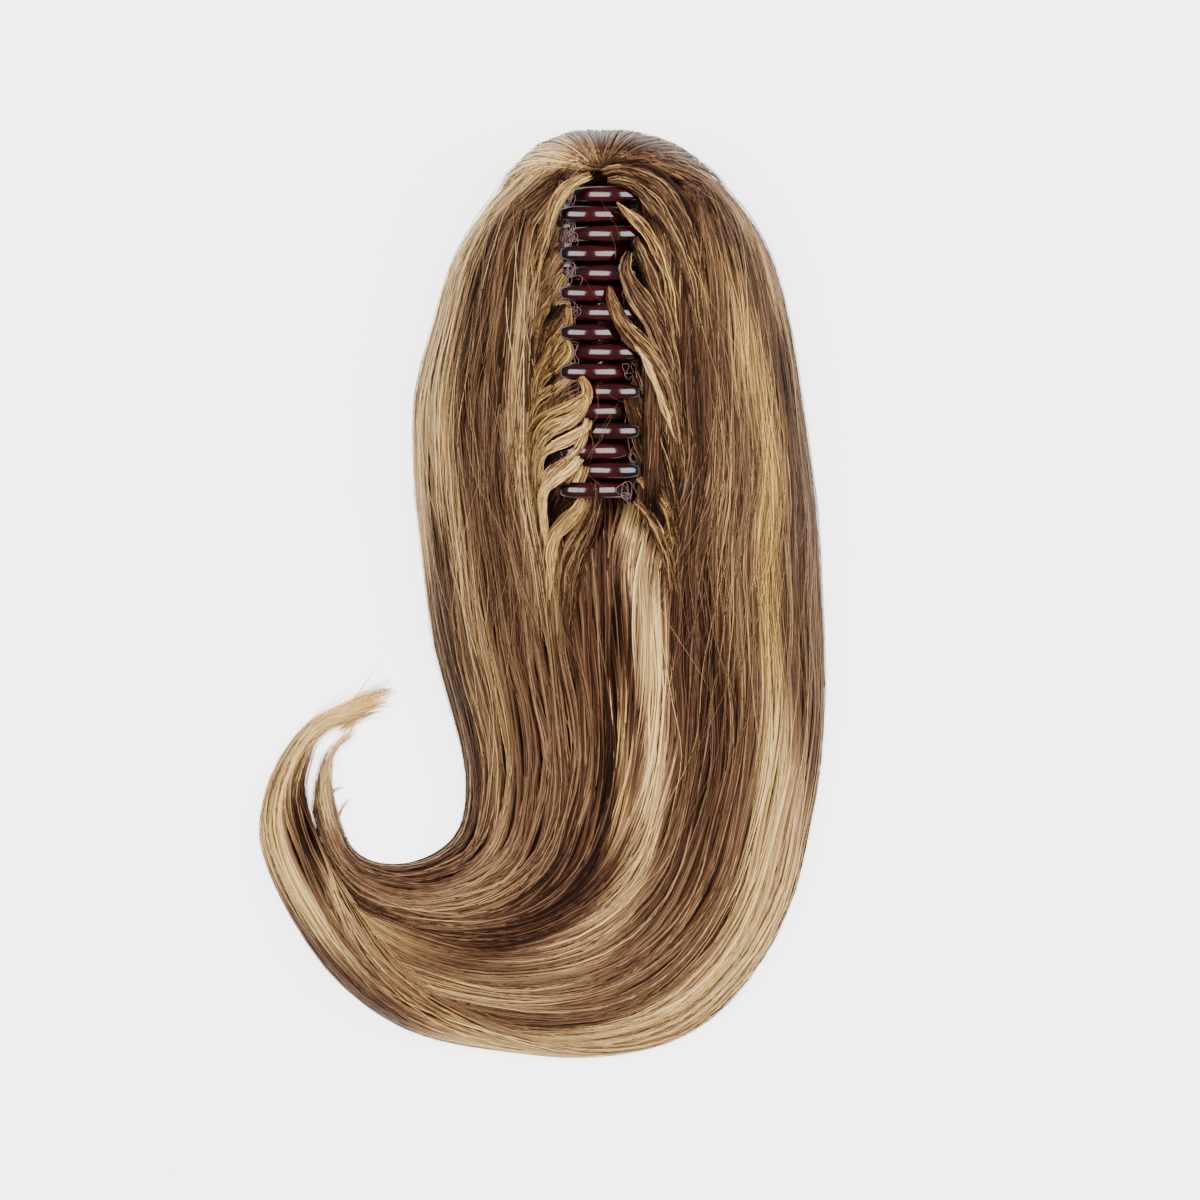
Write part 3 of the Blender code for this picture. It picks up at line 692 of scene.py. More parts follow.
def near_line(x, y, line):
    """1 on a drawn line of (x, y, half width) in pixels, falling to 0 beyond its half width."""
    near = np.zeros(x.shape)
    for (x0, y0, w0), (x1, y1, w1) in zip(line[:-1], line[1:]):
        ax, ay = px(x0, y0)
        bx, by = px(x1, y1)
        run = (bx - ax) ** 2 + (by - ay) ** 2
        t = np.clip(((x - ax) * (bx - ax) + (y - ay) * (by - ay)) / run, 0.0, 1.0)
        gap = np.hypot(x - ax - (bx - ax) * t, y - ay - (by - ay) * t)
        width = lerp(w0, w1, t) * PIXEL
        near = np.maximum(near, np.exp(-((gap / width) ** 4) * 0.7))
    return near


def streak_tone(x, y):
    """How much lighter, and how golden, the streaks make the hair at plan points."""
    lift = np.zeros(x.shape)
    gold = np.zeros(x.shape)
    for line, strength, golden in STREAKS:
        near = near_line(x, y, line)
        lift += near * strength * STREAK_GAIN
        gold = np.maximum(gold, near * golden * (strength > 0))
    return lift, gold


def colours(tone, gold):
    """Colour of each point from its own tone and gold, plus those of the streak it lies in."""
    table = np.array(TONES, dtype=float)
    level = np.clip(tone, 0.0, 1.0)
    channels = [np.interp(level, table[:, 0], linear(table[:, k])) for k in (1, 2, 3)]
    colour = np.stack(channels, axis=-1)
    tint = lerp(np.array(ASH_TINT), np.array(GOLD_TINT), np.clip(gold, 0.0, 1.0)[..., None])
    colour = colour * tint
    light = colour @ np.array(LUMINANCE)
    colour = light[..., None] * (colour / light[..., None]) ** RICHNESS
    colour = colour * (light[..., None] / MIDDLE_LIGHT) ** (CONTRAST - 1.0)
    return np.concatenate([colour, np.ones(colour.shape[:-1] + (1,))], axis=-1)


def new_object(name, data):
    made = bpy.data.objects.new(name, data)
    bpy.context.scene.collection.objects.link(made)
    return made


def new_mesh(name, points, faces, finish):
    mesh = bpy.data.meshes.new(name)
    points = np.asarray(points, dtype=np.float32).reshape(-1, 3)
    faces = np.asarray(faces, dtype=np.int32)
    corners = faces.shape[1]
    mesh.vertices.add(len(points))
    mesh.vertices.foreach_set("co", points.ravel())
    mesh.loops.add(faces.size)
    mesh.loops.foreach_set("vertex_index", faces.ravel())
    mesh.polygons.add(len(faces))
    mesh.polygons.foreach_set("loop_start", np.arange(0, faces.size, corners, dtype=np.int32))
    mesh.update(calc_edges=True)
    mesh.polygons.foreach_set("use_smooth", np.full(len(faces), True))
    mesh.materials.append(finish)
    return new_object(name, mesh)


def paint(made, colour):
    layer = made.data.color_attributes.new(name="tone", type="FLOAT_COLOR", domain="POINT")
    layer.data.foreach_set("color", np.asarray(colour, dtype=np.float32).ravel())


def ribbons(name, points, normal, half_width, tilt, colour, finish):
    """One mesh of flat strands. points and normal are strands x places x 3."""
    along = unit(np.gradient(points, axis=1))
    across = unit(np.cross(along, normal))
    lift = np.cross(across, along)
    turned = across * np.cos(tilt)[:, None, None] + lift * np.sin(tilt)[:, None, None]
    offset = turned * half_width[..., None]
    both = np.stack([points - offset, points + offset], axis=2)
    both[..., 2] = np.maximum(both[..., 2], EDGE_LOWEST)
    count, places = points.shape[:2]
    index = np.arange(count * places * 2).reshape(count, places, 2)
    ends = (index[:, :-1, 0], index[:, :-1, 1], index[:, 1:, 1], index[:, 1:, 0])
    faces = np.stack(ends, axis=-1).reshape(-1, 4)
    made = new_mesh(name, both, faces, finish)
    paint(made, np.repeat(colour[:, :, None, :], 2, axis=2))
    return made


def waves(rng, count, along, length, size):
    """A smooth wander for each strand: a few slow waves of random phase and pitch."""
    total = np.zeros(along.shape)
    for part in (1.0, 2.3, 4.9):
        phase = rng.uniform(0, 2 * math.pi, (count, 1))
        pitch = length / part * rng.uniform(0.75, 1.3, (count, 1))
        total += np.sin(2 * math.pi * along / pitch + phase) / part
    return total * size


def shares(places):
    """Shares of the way from a strand's root to its tip."""
    return np.linspace(0.0, 1.0, places)[None, :]


def tilts(rng, count):
    return np.radians(rng.uniform(-TILT_DEG, TILT_DEG, count))


def taper(t, root, tip):
    """Width of a strand by its share from root to tip."""
    return np.minimum(np.clip(t / root, 0.15, 1.0), np.clip((1.0 - t) / tip, 0.08, 1.0)) ** 0.6


def strand_parts(rng, points, out, half, widths, ends, level, gold):
    """What ribbons needs for a set of strands: widths between two shares, tapered at both ends."""
    count, places = points.shape[:2]
    half = half * rng.uniform(*widths, (count, 1)) * taper(shares(places), *ends)
    tilt = tilts(rng, count)
    return points, out, half, tilt, colours(level, gold)


def smoothed(rows, reach):
    """Each row averaged over this many places to either side."""
    padded = np.pad(rows, ((0, 0), (reach, reach)), mode="edge")
    total = np.cumsum(np.pad(padded, ((0, 0), (1, 0))), axis=1)
    width = 2 * reach + 1
    return (total[:, width:] - total[:, :-width]) / width


def own_tones(rng, count):
    """Each strand's own tone: most near the middle, with a few pale and a few dark ones."""
    tone = rng.normal(0.0, OWN_TONE, (count, 1))
    pick = rng.random((count, 1))
    tone = np.where(pick < PALE_SHARE, tone + PALE_LIFT, tone)
    return np.where(pick > 1.0 - DARK_SHARE, tone - DARK_DROP, tone)


def lay_strands(name, rng, along, angle, across, finish, rise=1.0, tone=BASE_TONE, spread=1.0,
                depth=RIDE_DEPTH, high=RIDE_HEIGHT, width=STRAND_HALF, sway=STRAND_SWAY,
                clump=LOCK_CLUMP, tip=STRAND_TIP, room=1.0):
    """Strands over the dome. across is each strand's place, by which it joins a lock."""
    count, places = along.shape
    t = shares(places)
    lock_place = across * LOCKS_ACROSS
    lock = np.floor(lock_place).astype(int)
    within = 2.0 * (lock_place - lock) - 1.0
    lock_rng = np.random.default_rng(7)
    lock_count = lock.max() - lock.min() + 1
    lock_id = lock - lock.min()
    phase = lock_rng.uniform(0, 2 * math.pi, (lock_count, 4))[lock_id]
    pitch = lock_rng.uniform(*LOCK_PITCH_MM, (lock_count, 2))[lock_id] * MM
    lock_wave = np.sin(2 * math.pi * along / pitch[:, 0:1] + phase[:, 0:1])
    pinch = 0.5 + 0.5 * np.sin(2 * math.pi * along / pitch[:, 1:2] + phase[:, 1:2])
    base = dome(along, angle, rise)
    out = normals(along, angle)
    run = unit(np.gradient(base, axis=1))
    side = unit(np.cross(run, out))
    sideways = waves(rng, count, along, SWAY_LENGTH, sway) + lock_wave * LOCK_WAVE
    sideways -= within[:, None] * LOCK_WIDTH / 2 * clump * pinch
    sideways = sideways * room
    layer = rng.uniform(0.0, 1.0, (count, 1))
    lift = high - layer * depth - LOCK_RELIEF * (within[:, None] ** 2) * (0.4 + 0.6 * pinch)
    lift = lift + waves(rng, count, along, LIFT_LENGTH, LIFT_SIZE)
    points = base + side * sideways[..., None] + out * lift[..., None]
    points[..., 2] = np.maximum(points[..., 2], LOWEST)
    seen = base + side * rng.normal(0.0, STREAK_SPREAD, (count, 1, 1))
    streak, golden = streak_tone(seen[..., 0], seen[..., 1])
    streak, golden = smoothed(streak, STREAK_SMOOTH), smoothed(golden, STREAK_SMOOTH)
    own = own_tones(rng, count) * spread * (1.0 + STREAK_CONTRAST * np.clip(np.abs(streak), 0.0, STREAK_FULL))
    lock_tone = lock_rng.uniform(-LOCK_TONE, LOCK_TONE, lock_count)[lock_id][:, None]
    fine = np.floor(lock_place * FINE_LOCKS).astype(int)
    fine_count = fine.max() - fine.min() + 1
    fine_rng = np.random.default_rng(23)
    lock_tone = lock_tone + fine_rng.uniform(-FINE_TONE, FINE_TONE, fine_count)[fine - fine.min()][:, None]
    # Painted shade at the lock's edges and in the lower layers
    edge = -LOCK_EDGE_SHADE * np.abs(within[:, None]) ** 3
    deep_shade = -LAYER_SHADE * layer
    share = STREAK_LEAST + STREAK_MORE * rng.random((count, 1))
    level = np.minimum(tone + streak * share, PALE_LIMIT)
    level = level + own + lock_tone + edge + deep_shade
    level = level + waves(rng, count, along, TONE_LENGTH, TONE_WAVE)
    gold_level = golden + rng.uniform(-GOLD_SPREAD, GOLD_SPREAD, (count, 1))
    half = width * rng.uniform(*WIDTHS, (count, 1)) * taper(t, ROOT_TAPER, tip)
    tilt = tilts(rng, count)
    return ribbons(name, points, out, half, tilt, colours(level, gold_level), finish)


def fall(name, rng, side, count, places, last, finish, high_across=1.0, **looks):
    """Strands of one side, from the parting over the crown and along the tail."""
    final = np.sort(rng.uniform(0.0, high_across, count))
    begin = -(FALL_START + FALL_START_SPAN * final**0.8) + rng.uniform(*START_RAGGED_MM, count) * MM
    turn = FALL_TURN + FALL_TURN_SPAN * final
    finish_at = last - rng.uniform(0.0, 1.0, count) ** FALL_RAGGED * FALL_RAGGED_REACH
    if side > 0 and last > row_distance(BAND_OPEN_ROW):
        swirl = row_distance(SWIRL_END_ROW) + (1.0 - final) * SWIRL_SPAN
        swirl = swirl - rng.uniform(0.0, 1.0, count) ** 2 * SWIRL_RAGGED
        finish_at = np.where(final < SWIRL_SHARE, np.minimum(finish_at, swirl), finish_at)
    t = shares(places)
    along = lerp(begin[:, None], finish_at[:, None], t)
    grow = np.clip((along - begin[:, None]) / (turn - begin)[:, None], 0.0, 1.0)
    across = final[:, None] * (1.0 - (1.0 - grow) ** 1.5)
    inner = inner_angle(along, side)
    angle = lerp(inner, side * math.pi / 2, np.clip(across, 0.0, 1.0))
    breadth = surface(along, side * math.pi / 2 + np.zeros(along.shape))[0] - surface(along, inner)[0]
    room = np.clip(np.linalg.norm(breadth, axis=-1) / FULL_BREADTH, LEAST_ROOM, 1.0)
    return lay_strands(name, rng, along, angle, final, finish, room=room, **looks)


def curl_band(name, rng, count, places, last, finish, **looks):
    """Strands that come off the tail's outer edge and spread over the swirl into the curl's tip."""
    final = np.sort(rng.uniform(0.0, 1.0, count))
    begin = lerp(row_distance(BAND_FIRST_ROW), row_distance(BAND_LAST_ROW), rng.random(count))
    finish_at = last - rng.uniform(0.0, 1.0, count) ** 2 * BAND_RAGGED
    t = shares(places)
    along = lerp(begin[:, None], finish_at[:, None], t)
    open_at = row_distance(BAND_OPEN_ROW)
    grow = ease((along - begin[:, None]) / (open_at - begin[:, None]))
    start = rng.uniform(BAND_EDGE, 1.0, (count, 1))
    across = lerp(start, final[:, None], grow)
    angle = lerp(inner_angle(along, 1), math.pi / 2, across)
    return lay_strands(name, rng, along, angle, final, finish, **looks)


def wisps(name, rng, side, count, places, first, last, beyond, finish):
    """Thin feathered ends that run on past a tip of the curl."""
    final = rng.uniform(0.0, 1.0, count)
    begin = rng.uniform(first, last - 10 * MM, count)
    t = shares(places)
    end = np.minimum(begin + rng.uniform(25, 60, count) * MM, last)
    along = lerp(begin[:, None], end[:, None], t)
    angle = lerp(inner_angle(along, side), side * math.pi / 2, final[:, None])
    base = dome(along, angle)
    run = unit(np.gradient(base, axis=1))
    out = normals(along, angle)
    aside = unit(np.cross(run, out))
    drift = rng.normal(0.0, 1.0, (count, 1)) * beyond * t**2
    longer = rng.uniform(0.0, 1.3, (count, 1)) * beyond * t**3
    points = base + aside * (drift + waves(rng, count, along, 40 * MM, 0.5 * MM))[..., None]
    points = points + run * longer[..., None]
    points[..., 2] = np.maximum(points[..., 2] + rng.uniform(-0.5, 1.0, (count, 1)) * MM, 0.3 * MM)
    streak, golden = streak_tone(points[..., 0], points[..., 1])
    level = WISP_TONE + rng.uniform(-WISP_SPREAD, WISP_SPREAD, (count, 1)) + CORE_STREAK * streak
    half = WISP_HALF * taper(t, 0.1, 0.5) + np.zeros(level.shape)
    tilt = tilts(rng, count)
    return ribbons(name, points, out, half, tilt, colours(level, golden), finish)


def over_crown(name, rng, side, count, places, finish, **looks):
    """Strands from the parting straight over the upper end and down to the level it lies on."""
    final = np.sort(rng.uniform(0.0, 1.0, count) ** CROWN_CROWDING)
    begin = lerp(-MANTLE["crown"], CROWN_BEGIN, final)
    drift = rng.uniform(*CROWN_DRIFT_MM, count) * MM * (0.1 + 1.2 * final)
    t = shares(places)
    along = begin[:, None] + drift[:, None] * t**1.5
    inner = inner_angle(along, side)
    start = rng.uniform(*CROWN_START, (count, 1))
    across = lerp(start, 1.0, t**0.9)
    angle = lerp(inner, side * math.pi / 2, across)
    return lay_strands(name, rng, along, angle, final, finish, **looks)


def centre_tail(name, rng, count, places, last, finish, **looks):
    """The middle of the tail, from under the lowest teeth into the curl."""
    across = np.sort(rng.uniform(*CENTRE_SPREAD, count))
    begin = CLIP_RUN - np.where(across < 0.55, rng.uniform(1.0, 7.0, count), -1.0) * MM
    finish_at = last - rng.uniform(0.0, 1.0, count) ** 2 * CENTRE_RAGGED
    t = shares(places)
    along = lerp(begin[:, None], finish_at[:, None], t)
    at = np.maximum(along, FIRST_TAIL)
    start, end = angle_of_share(column(at, 4)), angle_of_share(column(at, 5))
    angle = lerp(start, end, across[:, None])
    steps = np.arange(len(BACK_RISE)) * BACK_RISE_STEP + FIRST_TAIL
    rise = np.interp(along, steps, BACK_RISE)
    return lay_strands(name, rng, along, angle, across, finish, rise=rise, **looks)


def plan_height(x, y):
    """Height of the dome above a plan point beside or just below the claw."""
    along = np.maximum(HAIR_END - y, 0.0)
    left, right = column(along, 0), column(along, 2)
    outline = np.array(CROWN_OUTLINE)[::-1]
    beyond = np.clip((y - HAIR_END) / (CLIP_HALF + CROWN_LENGTH - HAIR_END), 0.0, 1.0)
    narrow = np.maximum(np.interp(beyond, outline[:, 1], outline[:, 0]), 0.02)
    share = np.clip((x / narrow - left) / (right - left), 0.0, 1.0)
    height = dome(along, angle_of_share(share))[..., 2]
    return height * np.sqrt(np.maximum(1.0 - beyond**DOME_CORNER, 0.0))


def lock_height(x, y, side, over):
    """What a lock at the roots lies on: its own jaw or both near the claw, then the fall."""
    radius = JAW_RADIUS + ROOT_CLEAR + NET_CLEAR * ease((side * x - NET_FROM) / NET_RAMP)
    on_claw = claw_height(x, side, radius)
    if over:
        on_claw = np.maximum(on_claw, claw_height(x, -side, radius))
    on_hair = plan_height(x, y)
    middle = ease((x - MIDDLE_LEFT) / MIDDLE_RAMP) * ease((MIDDLE_RIGHT - x) / MIDDLE_RAMP)
    steps = np.arange(len(BACK_RISE)) * BACK_RISE_STEP + HAIR_END
    on_hair = on_hair * lerp(1.0, np.interp(-y, steps, BACK_RISE), middle * (y < 0.0)) + ROOT_CLEAR
    edge = CLIP_SIDE - JAW_CROSSING * 0.2
    away = ease((side * x - edge) / ROOT_RAMP)
    past = np.where(y < 0.0, -y - LOW_END, (y - HIGH_END) * END_RAMP / TOP_RAMP) / END_RAMP
    return lerp(on_claw, on_hair, np.maximum(away, ease(past)))


def flat_out(shape, lean=0.0):
    """Outward directions of strands that lie nearly level, leaning a little to one side."""
    out = np.zeros(shape)
    out[..., 2] = 1.0
    out[..., 0] = lean
    return unit(out)


def drawn_line(line):
    """A smooth centre line from a table's pixels: x, y and half width, and the distance along it."""
    centre = between([(*px(x, y), half * PIXEL) for x, y, half in line], ROW_STEPS)
    steps = np.linalg.norm(np.diff(centre[:, :2], axis=0), axis=1)
    return centre, np.concatenate([[0.0], np.cumsum(steps)])


def beside_line(centre, run, at, aside):
    """Plan points at distances along a centre line, set off to its side."""
    middle = np.stack([np.interp(at, run, centre[:, k]) for k in (0, 1)], -1)
    heading = unit(np.gradient(centre[:, :2], axis=0))
    ahead = unit(np.stack([np.interp(at, run, heading[:, k]) for k in (0, 1)], -1))
    across = np.stack([ahead[..., 1], -ahead[..., 0]], -1)
    return middle + across * aside[..., None]


def lock_strands(rng, table, side, places, lift=0.0):
    """Strands of the locks at the roots: points, outward directions, widths, tilts and colours."""
    every = []
    for line, strands, tone, golden, over in table:
        centre, run = drawn_line(line)
        own = rng.uniform(-1.0, 1.0, (strands, 1))
        first = rng.uniform(0.0, 0.07, (strands, 1))
        last = 1.0 - rng.uniform(0.0, 1.0, (strands, 1)) ** 1.5 * LOCK_RAGGED
        share = shares(places)
        t = lerp(first, last, share)
        at = t * run[-1]
        width = np.interp(at, run, centre[:, 2])
        part = np.floor((own + 1.0) * SUB_LOCKS / 2).astype(int)
        part_middle = (part + 0.5) * 2 / SUB_LOCKS - 1.0
        held = lerp(own, part_middle, SUB_PINCH * ease(t * 1.4))
        part_tone = rng.uniform(-SUB_TONE, SUB_TONE, SUB_LOCKS + 1)[part]
        part_phase = rng.uniform(0.0, 2 * math.pi, SUB_LOCKS + 1)[part]
        gap = np.abs((own - part_middle) * SUB_LOCKS) ** 3
        sway = SUB_WAVE * np.sin(2 * math.pi * at / (16 * MM) + part_phase)
        aside = held * width + sway + waves(rng, strands, at, 24 * MM, 0.20 * MM)
        plan = beside_line(centre, run, at, aside)
        layer = rng.uniform(0.0, 1.0, (strands, 1))
        height = lock_height(plan[..., 0], plan[..., 1], side, over)
        height = height + (1.0 - own**2) * LOCK_CROWN - layer * LOCK_DEPTH
        height = smoothed(height + waves(rng, strands, at, 25 * MM, 0.15 * MM), 2)
        points = np.concatenate([plan, height[..., None]], -1)
        # Painted shade: darker at a lock's edges, in the gaps between its parts and in its lower layers
        level = tone + lift + own_tones(rng, strands) * LOCK_SPREAD + part_tone - 0.10 * np.abs(own) ** 3
        level = level - 0.18 * gap - 0.16 * layer + waves(rng, strands, at, 30 * MM, 0.03)
        gold = golden + rng.uniform(-0.3, 0.3, (strands, 1)) + np.zeros(level.shape)
        out = flat_out(points.shape, side * LOCK_LEAN)
        every.append(strand_parts(rng, points, out, LOCK_HALF, ROOT_WIDTHS, (0.08, 0.3), level, gold))
    return [np.concatenate(parts) for parts in zip(*every)]


def tufts(name, rng, places, finish):
    """Frayed ends at the curl's two tips and the tufts on its inner edge."""
    every = []
    for line, strands in TUFTS:
        centre, run = drawn_line(line)
        share = shares(places)
        own = rng.normal(0.0, 0.5, (strands, 1))
        first = rng.uniform(0.0, 0.25, (strands, 1))
        last = 1.0 - rng.uniform(0.0, 1.0, (strands, 1)) ** 1.5 * 0.55
        at = lerp(first, last, share) * run[-1]
        width = np.interp(at, run, centre[:, 2])
        aside = own * width + waves(rng, strands, at, 18 * MM, 0.35 * MM)
        plan = beside_line(centre, run, at, aside)
        height = TUFT_HEIGHT * rng.uniform(0.35, 1.0, (strands, 1)) * (1.0 - 0.75 * share)
        points = np.concatenate([plan, height[..., None]], -1)
        level = TUFT_TONE + own_tones(rng, strands) + np.zeros(height.shape)
        out = flat_out(points.shape)
        every.append(strand_parts(rng, points, out, TUFT_HALF, (0.7, 1.2), (0.1, 0.7), level, level * 0.4))
    return ribbons(name, *[np.concatenate(parts) for parts in zip(*every)], finish)


def hollow_shade(x, y):
    """How much painted shade darkens the hollows between the root locks."""
    drop = np.zeros(x.shape)
    for line, strength in HOLLOWS:
        drop = np.maximum(drop, strength * near_line(x, y, line))
    return drop


def left_beside(rng, count, places):
    """Strands that come out from the left net and sweep down under the locks at the roots."""
    t = shares(places)
    top = rng.uniform(LEFT_NET_EDGE[0][1], LEFT_NET_EDGE[-1][1], (count, 1))
    edge = np.array(LEFT_NET_EDGE, dtype=float)
    start = np.interp(top, edge[:, 1], edge[:, 0]) + rng.uniform(-1.0, 3.0, (count, 1))
    end = rng.uniform(530, 548, (count, 1)) + 0.06 * np.clip(top - 400, 0, 200)
    down = rng.uniform(38, 90, (count, 1))
    x_px = lerp(start, end, 1.0 - (1.0 - t) ** 2.2)
    y_px = top + down * t**1.2
    x, y = px(x_px, y_px)
    x = x + waves(rng, count, y, 30 * MM, 0.35 * MM)
    layer = rng.uniform(0.0, 1.0, (count, 1))
    z = lock_height(x, y, -1, 0) - 0.2 * MM - layer * 0.9 * MM
    points = np.stack([x, y, z], -1)
    # Painted shade: darker in the lower layer and in the hollows under the root locks
    level = LEFT_BESIDE_TONE + own_tones(rng, count) - 0.14 * layer - hollow_shade(x, y)
    out = flat_out(points.shape)
    gold = np.full(x.shape, LEFT_BESIDE_GOLD)
    return strand_parts(rng, points, out, STRAND_HALF, (0.6, 1.1), (0.08, 0.3), level, gold)


def beside_strands(rng, count, places):
    """Brown strands along the right jaw, between its teeth and the right fall."""
    share = np.sort(rng.uniform(0.0, 1.0, count))[:, None]
    t = shares(places)
    top = HAIR_END + rng.uniform(-1.0, 3.0, (count, 1)) * MM
    low = -HAIR_END - rng.uniform(-4.0, 8.0, (count, 1)) * MM
    first, last = rng.uniform(0.0, 0.45, (count, 1)) ** 1.5, 1.0 - rng.uniform(0.0, 0.4, (count, 1)) ** 1.5
    at = lerp(first, last, t)
    y = lerp(top, low, at)
    near, far = BESIDE_NEAR, JAW_SWEEP - 0.2 * MM
    start = lerp(near, far, share)
    bow = ease(at / 0.25)
    x = lerp(near * 0.75 + 0.25 * start, start, bow) + waves(rng, count, y, 60 * MM, 0.5 * MM)
    x = np.minimum(x, far)
    layer = rng.uniform(0.0, 1.0, (count, 1))
    over = lerp(claw_height(x, 1, JAW_RADIUS + 2.4 * MM), plan_height(x, y), ease((x - near) / (4 * MM)))
    z = over + 0.3 * MM - layer * BESIDE_DEPTH + waves(rng, count, y, 50 * MM, 0.3 * MM)
    points = np.stack([x, y, z], -1)
    streak, golden = streak_tone(x, y)
    # Painted shade: darker in the lower layer, in the hollows and in the jaw's shadow beside it
    level = RIGHT_BESIDE_TONE + own_tones(rng, count) + streak - 0.14 * layer - hollow_shade(x, y)
    level = level - 0.18 * (1.0 - ease((x - near) / (5 * MM)))
    gold = golden + RIGHT_BESIDE_GOLD + np.zeros(level.shape)
    out = flat_out(points.shape)
    return strand_parts(rng, points, out, STRAND_HALF, ROOT_WIDTHS, (0.08, 0.2), level, gold)


def strays(name, rng, side, count, places, last, finish):
    """Single thin hairs that leave the smooth surface a little."""
    final = rng.uniform(0.05, 1.0, count)
    begin = rng.uniform(-20, 140, count) * MM
    length = rng.uniform(40, 150, count) * MM
    t = shares(places)
    along = np.minimum(begin[:, None] + length[:, None] * t, last)
    across = np.clip(final[:, None] + rng.normal(0.0, STRAY_CROSSING, (count, 1)) * (t - 0.5), 0.0, 1.0)
    angle = lerp(inner_angle(along, side), side * math.pi / 2, across)
    return lay_strands(name, rng, along, angle, final, finish, spread=1.4, depth=0.0, high=STRAY_HEIGHT,
                       width=STRAY_HALF, sway=STRAY_SWAY, clump=0.0, tone=STRAY_TONE)


def over_teeth(name, rng, count, places, finish):
    """A few loose hairs that lie over the teeth."""
    t = shares(places)
    y = rng.uniform(-CLIP_HALF, CLIP_HALF, (count, 1)) - t * rng.uniform(4, 30, (count, 1)) * MM
    start = rng.uniform(-15, 10, (count, 1)) * MM
    x = start + t * rng.uniform(-14, 18, (count, 1)) * MM
    x = x + waves(rng, count, y, 20 * MM, 0.7 * MM)
    z = np.full(x.shape, PIN_HEIGHT + JAW_RISE + JAW_RADIUS) + rng.uniform(0.3, 1.0, (count, 1)) * MM
    z = z - 6.0 * MM * np.clip(np.abs(x) / (16 * MM), 0, 1.6) ** 3
    points = np.stack([x, y, z], -1)
    half = TOOTH_HAIR_HALF * taper(t, 0.1, 0.2) + np.zeros(x.shape)
    level = rng.uniform(0.20, 0.55, (count, 1)) + np.zeros(x.shape)
    colour = colours(level, level * 0.3)
    return ribbons(name, points, flat_out(points.shape), half, np.zeros(count), colour, finish)


def tubes(name, lines, radius, finish):
    """One mesh of thin threads. lines is threads x places x 3."""
    run = unit(np.gradient(lines, axis=1))
    across = unit(np.cross(run, np.array([0.31, 0.22, 0.92])))
    up = np.cross(across, run)
    rings = []
    for i in range(THREAD_SIDES):
        angle = 2 * math.pi * i / THREAD_SIDES
        rings.append(lines + radius * (across * math.cos(angle) + up * math.sin(angle)))
    points = np.stack(rings, axis=2)
    count, places = lines.shape[:2]
    index = np.arange(count * places * THREAD_SIDES).reshape(count, places, THREAD_SIDES)
    turned = np.roll(index, -1, axis=2)
    ends = (index[:, :-1], turned[:, :-1], turned[:, 1:], index[:, 1:])
    return new_mesh(name, points, np.stack(ends, axis=-1).reshape(-1, 4), finish)


def net_threads(name, rng, side, first_tooth, loops, finish):
    """Crossing threads over a jaw's outside, and loose loops round the roots of its teeth."""
    lines = []
    places = NET_PLACES
    t = np.linspace(0.0, 1.0, places)
    for slant in (-1, 1):
        for y0 in np.arange(-CLIP_HALF, CLIP_HALF, NET_PITCH):
            y = y0 + slant * t * NET_SLANT + rng.uniform(-0.3, 0.3) * MM
            y = np.clip(y, -CLIP_HALF, CLIP_HALF)
            degrees = lerp(WALL_FOOT_DEG - 2.0, WALL_TOP_DEG - 1.0, t)
            radius = JAW_RADIUS + NET_OUTSIDE + 0.15 * MM * np.sin(t * 40 + y0 * 900)
            lines.append(claw_line(side, radius, degrees, y))
    turn = np.linspace(0.0, 2 * math.pi, places)
    for i in range(TEETH_PER_JAW):
        middle = CLIP_HALF - TOOTH_WIDTH / 2 - (2 * i + first_tooth) * PITCH
        for _ in range(loops):
            size = rng.uniform(*LOOP_SIZE_MM) * MM
            centre = middle + rng.uniform(-LOOP_REACH_MM, LOOP_REACH_MM) * MM
            at = rng.uniform(WALL_TOP_DEG - LOOP_BELOW_DEG, WALL_TOP_DEG + LOOP_ABOVE_DEG)
            bend = rng.uniform(*LOOP_BEND)
            wobble = 1.0 + LOOP_WOBBLE * np.sin(3 * turn + rng.uniform(0, 6))
            y = centre + size * np.cos(turn) * wobble
            degrees = at + math.degrees(size * bend / JAW_RADIUS) * np.sin(turn) * wobble
            radius = JAW_RADIUS + rng.uniform(0.3, 1.3) * MM + 0.3 * MM * np.sin(2 * turn)
            lines.append(claw_line(side, radius, degrees, y))
    return tubes(name, np.array(lines), NET_THREAD, finish)


def claw_line(side, radius, degrees, y):
    angle = np.radians(degrees)
    x = -side * (JAW_CROSSING + radius * np.cos(angle))
    return np.stack([x, y, PIN_HEIGHT + JAW_RISE + radius * np.sin(angle)], -1)


def new_material(name, roughness):
    """A material with its nodes, links and shader."""
    made = bpy.data.materials.new(name)
    made.use_nodes = True
    nodes, links = made.node_tree.nodes, made.node_tree.links
    shader = nodes["Principled BSDF"]
    shader.inputs["Roughness"].default_value = roughness
    return made, nodes, links, shader


def new_noise(nodes, links, scale):
    place = nodes.new("ShaderNodeTexCoord")
    noise = nodes.new("ShaderNodeTexNoise")
    noise.inputs["Scale"].default_value = scale
    noise.inputs["Detail"].default_value = NOISE_DETAIL
    links.new(place.outputs["Object"], noise.inputs["Vector"])
    return place, noise


def noise_mix(nodes, links, colour_from, scale, low, high):
    """Multiplies a colour by fine noise between two levels."""
    _, noise = new_noise(nodes, links, scale)
    span = nodes.new("ShaderNodeMapRange")
    span.inputs["To Min"].default_value = low
    span.inputs["To Max"].default_value = high
    links.new(noise.outputs["Fac"], span.inputs["Value"])
    mix = nodes.new("ShaderNodeMix")
    mix.data_type = "RGBA"
    mix.blend_type = "MULTIPLY"
    mix.inputs["Factor"].default_value = 1.0
    links.new(colour_from, mix.inputs["A"])
    links.new(span.outputs["Result"], mix.inputs["B"])
    return mix.outputs["Result"]


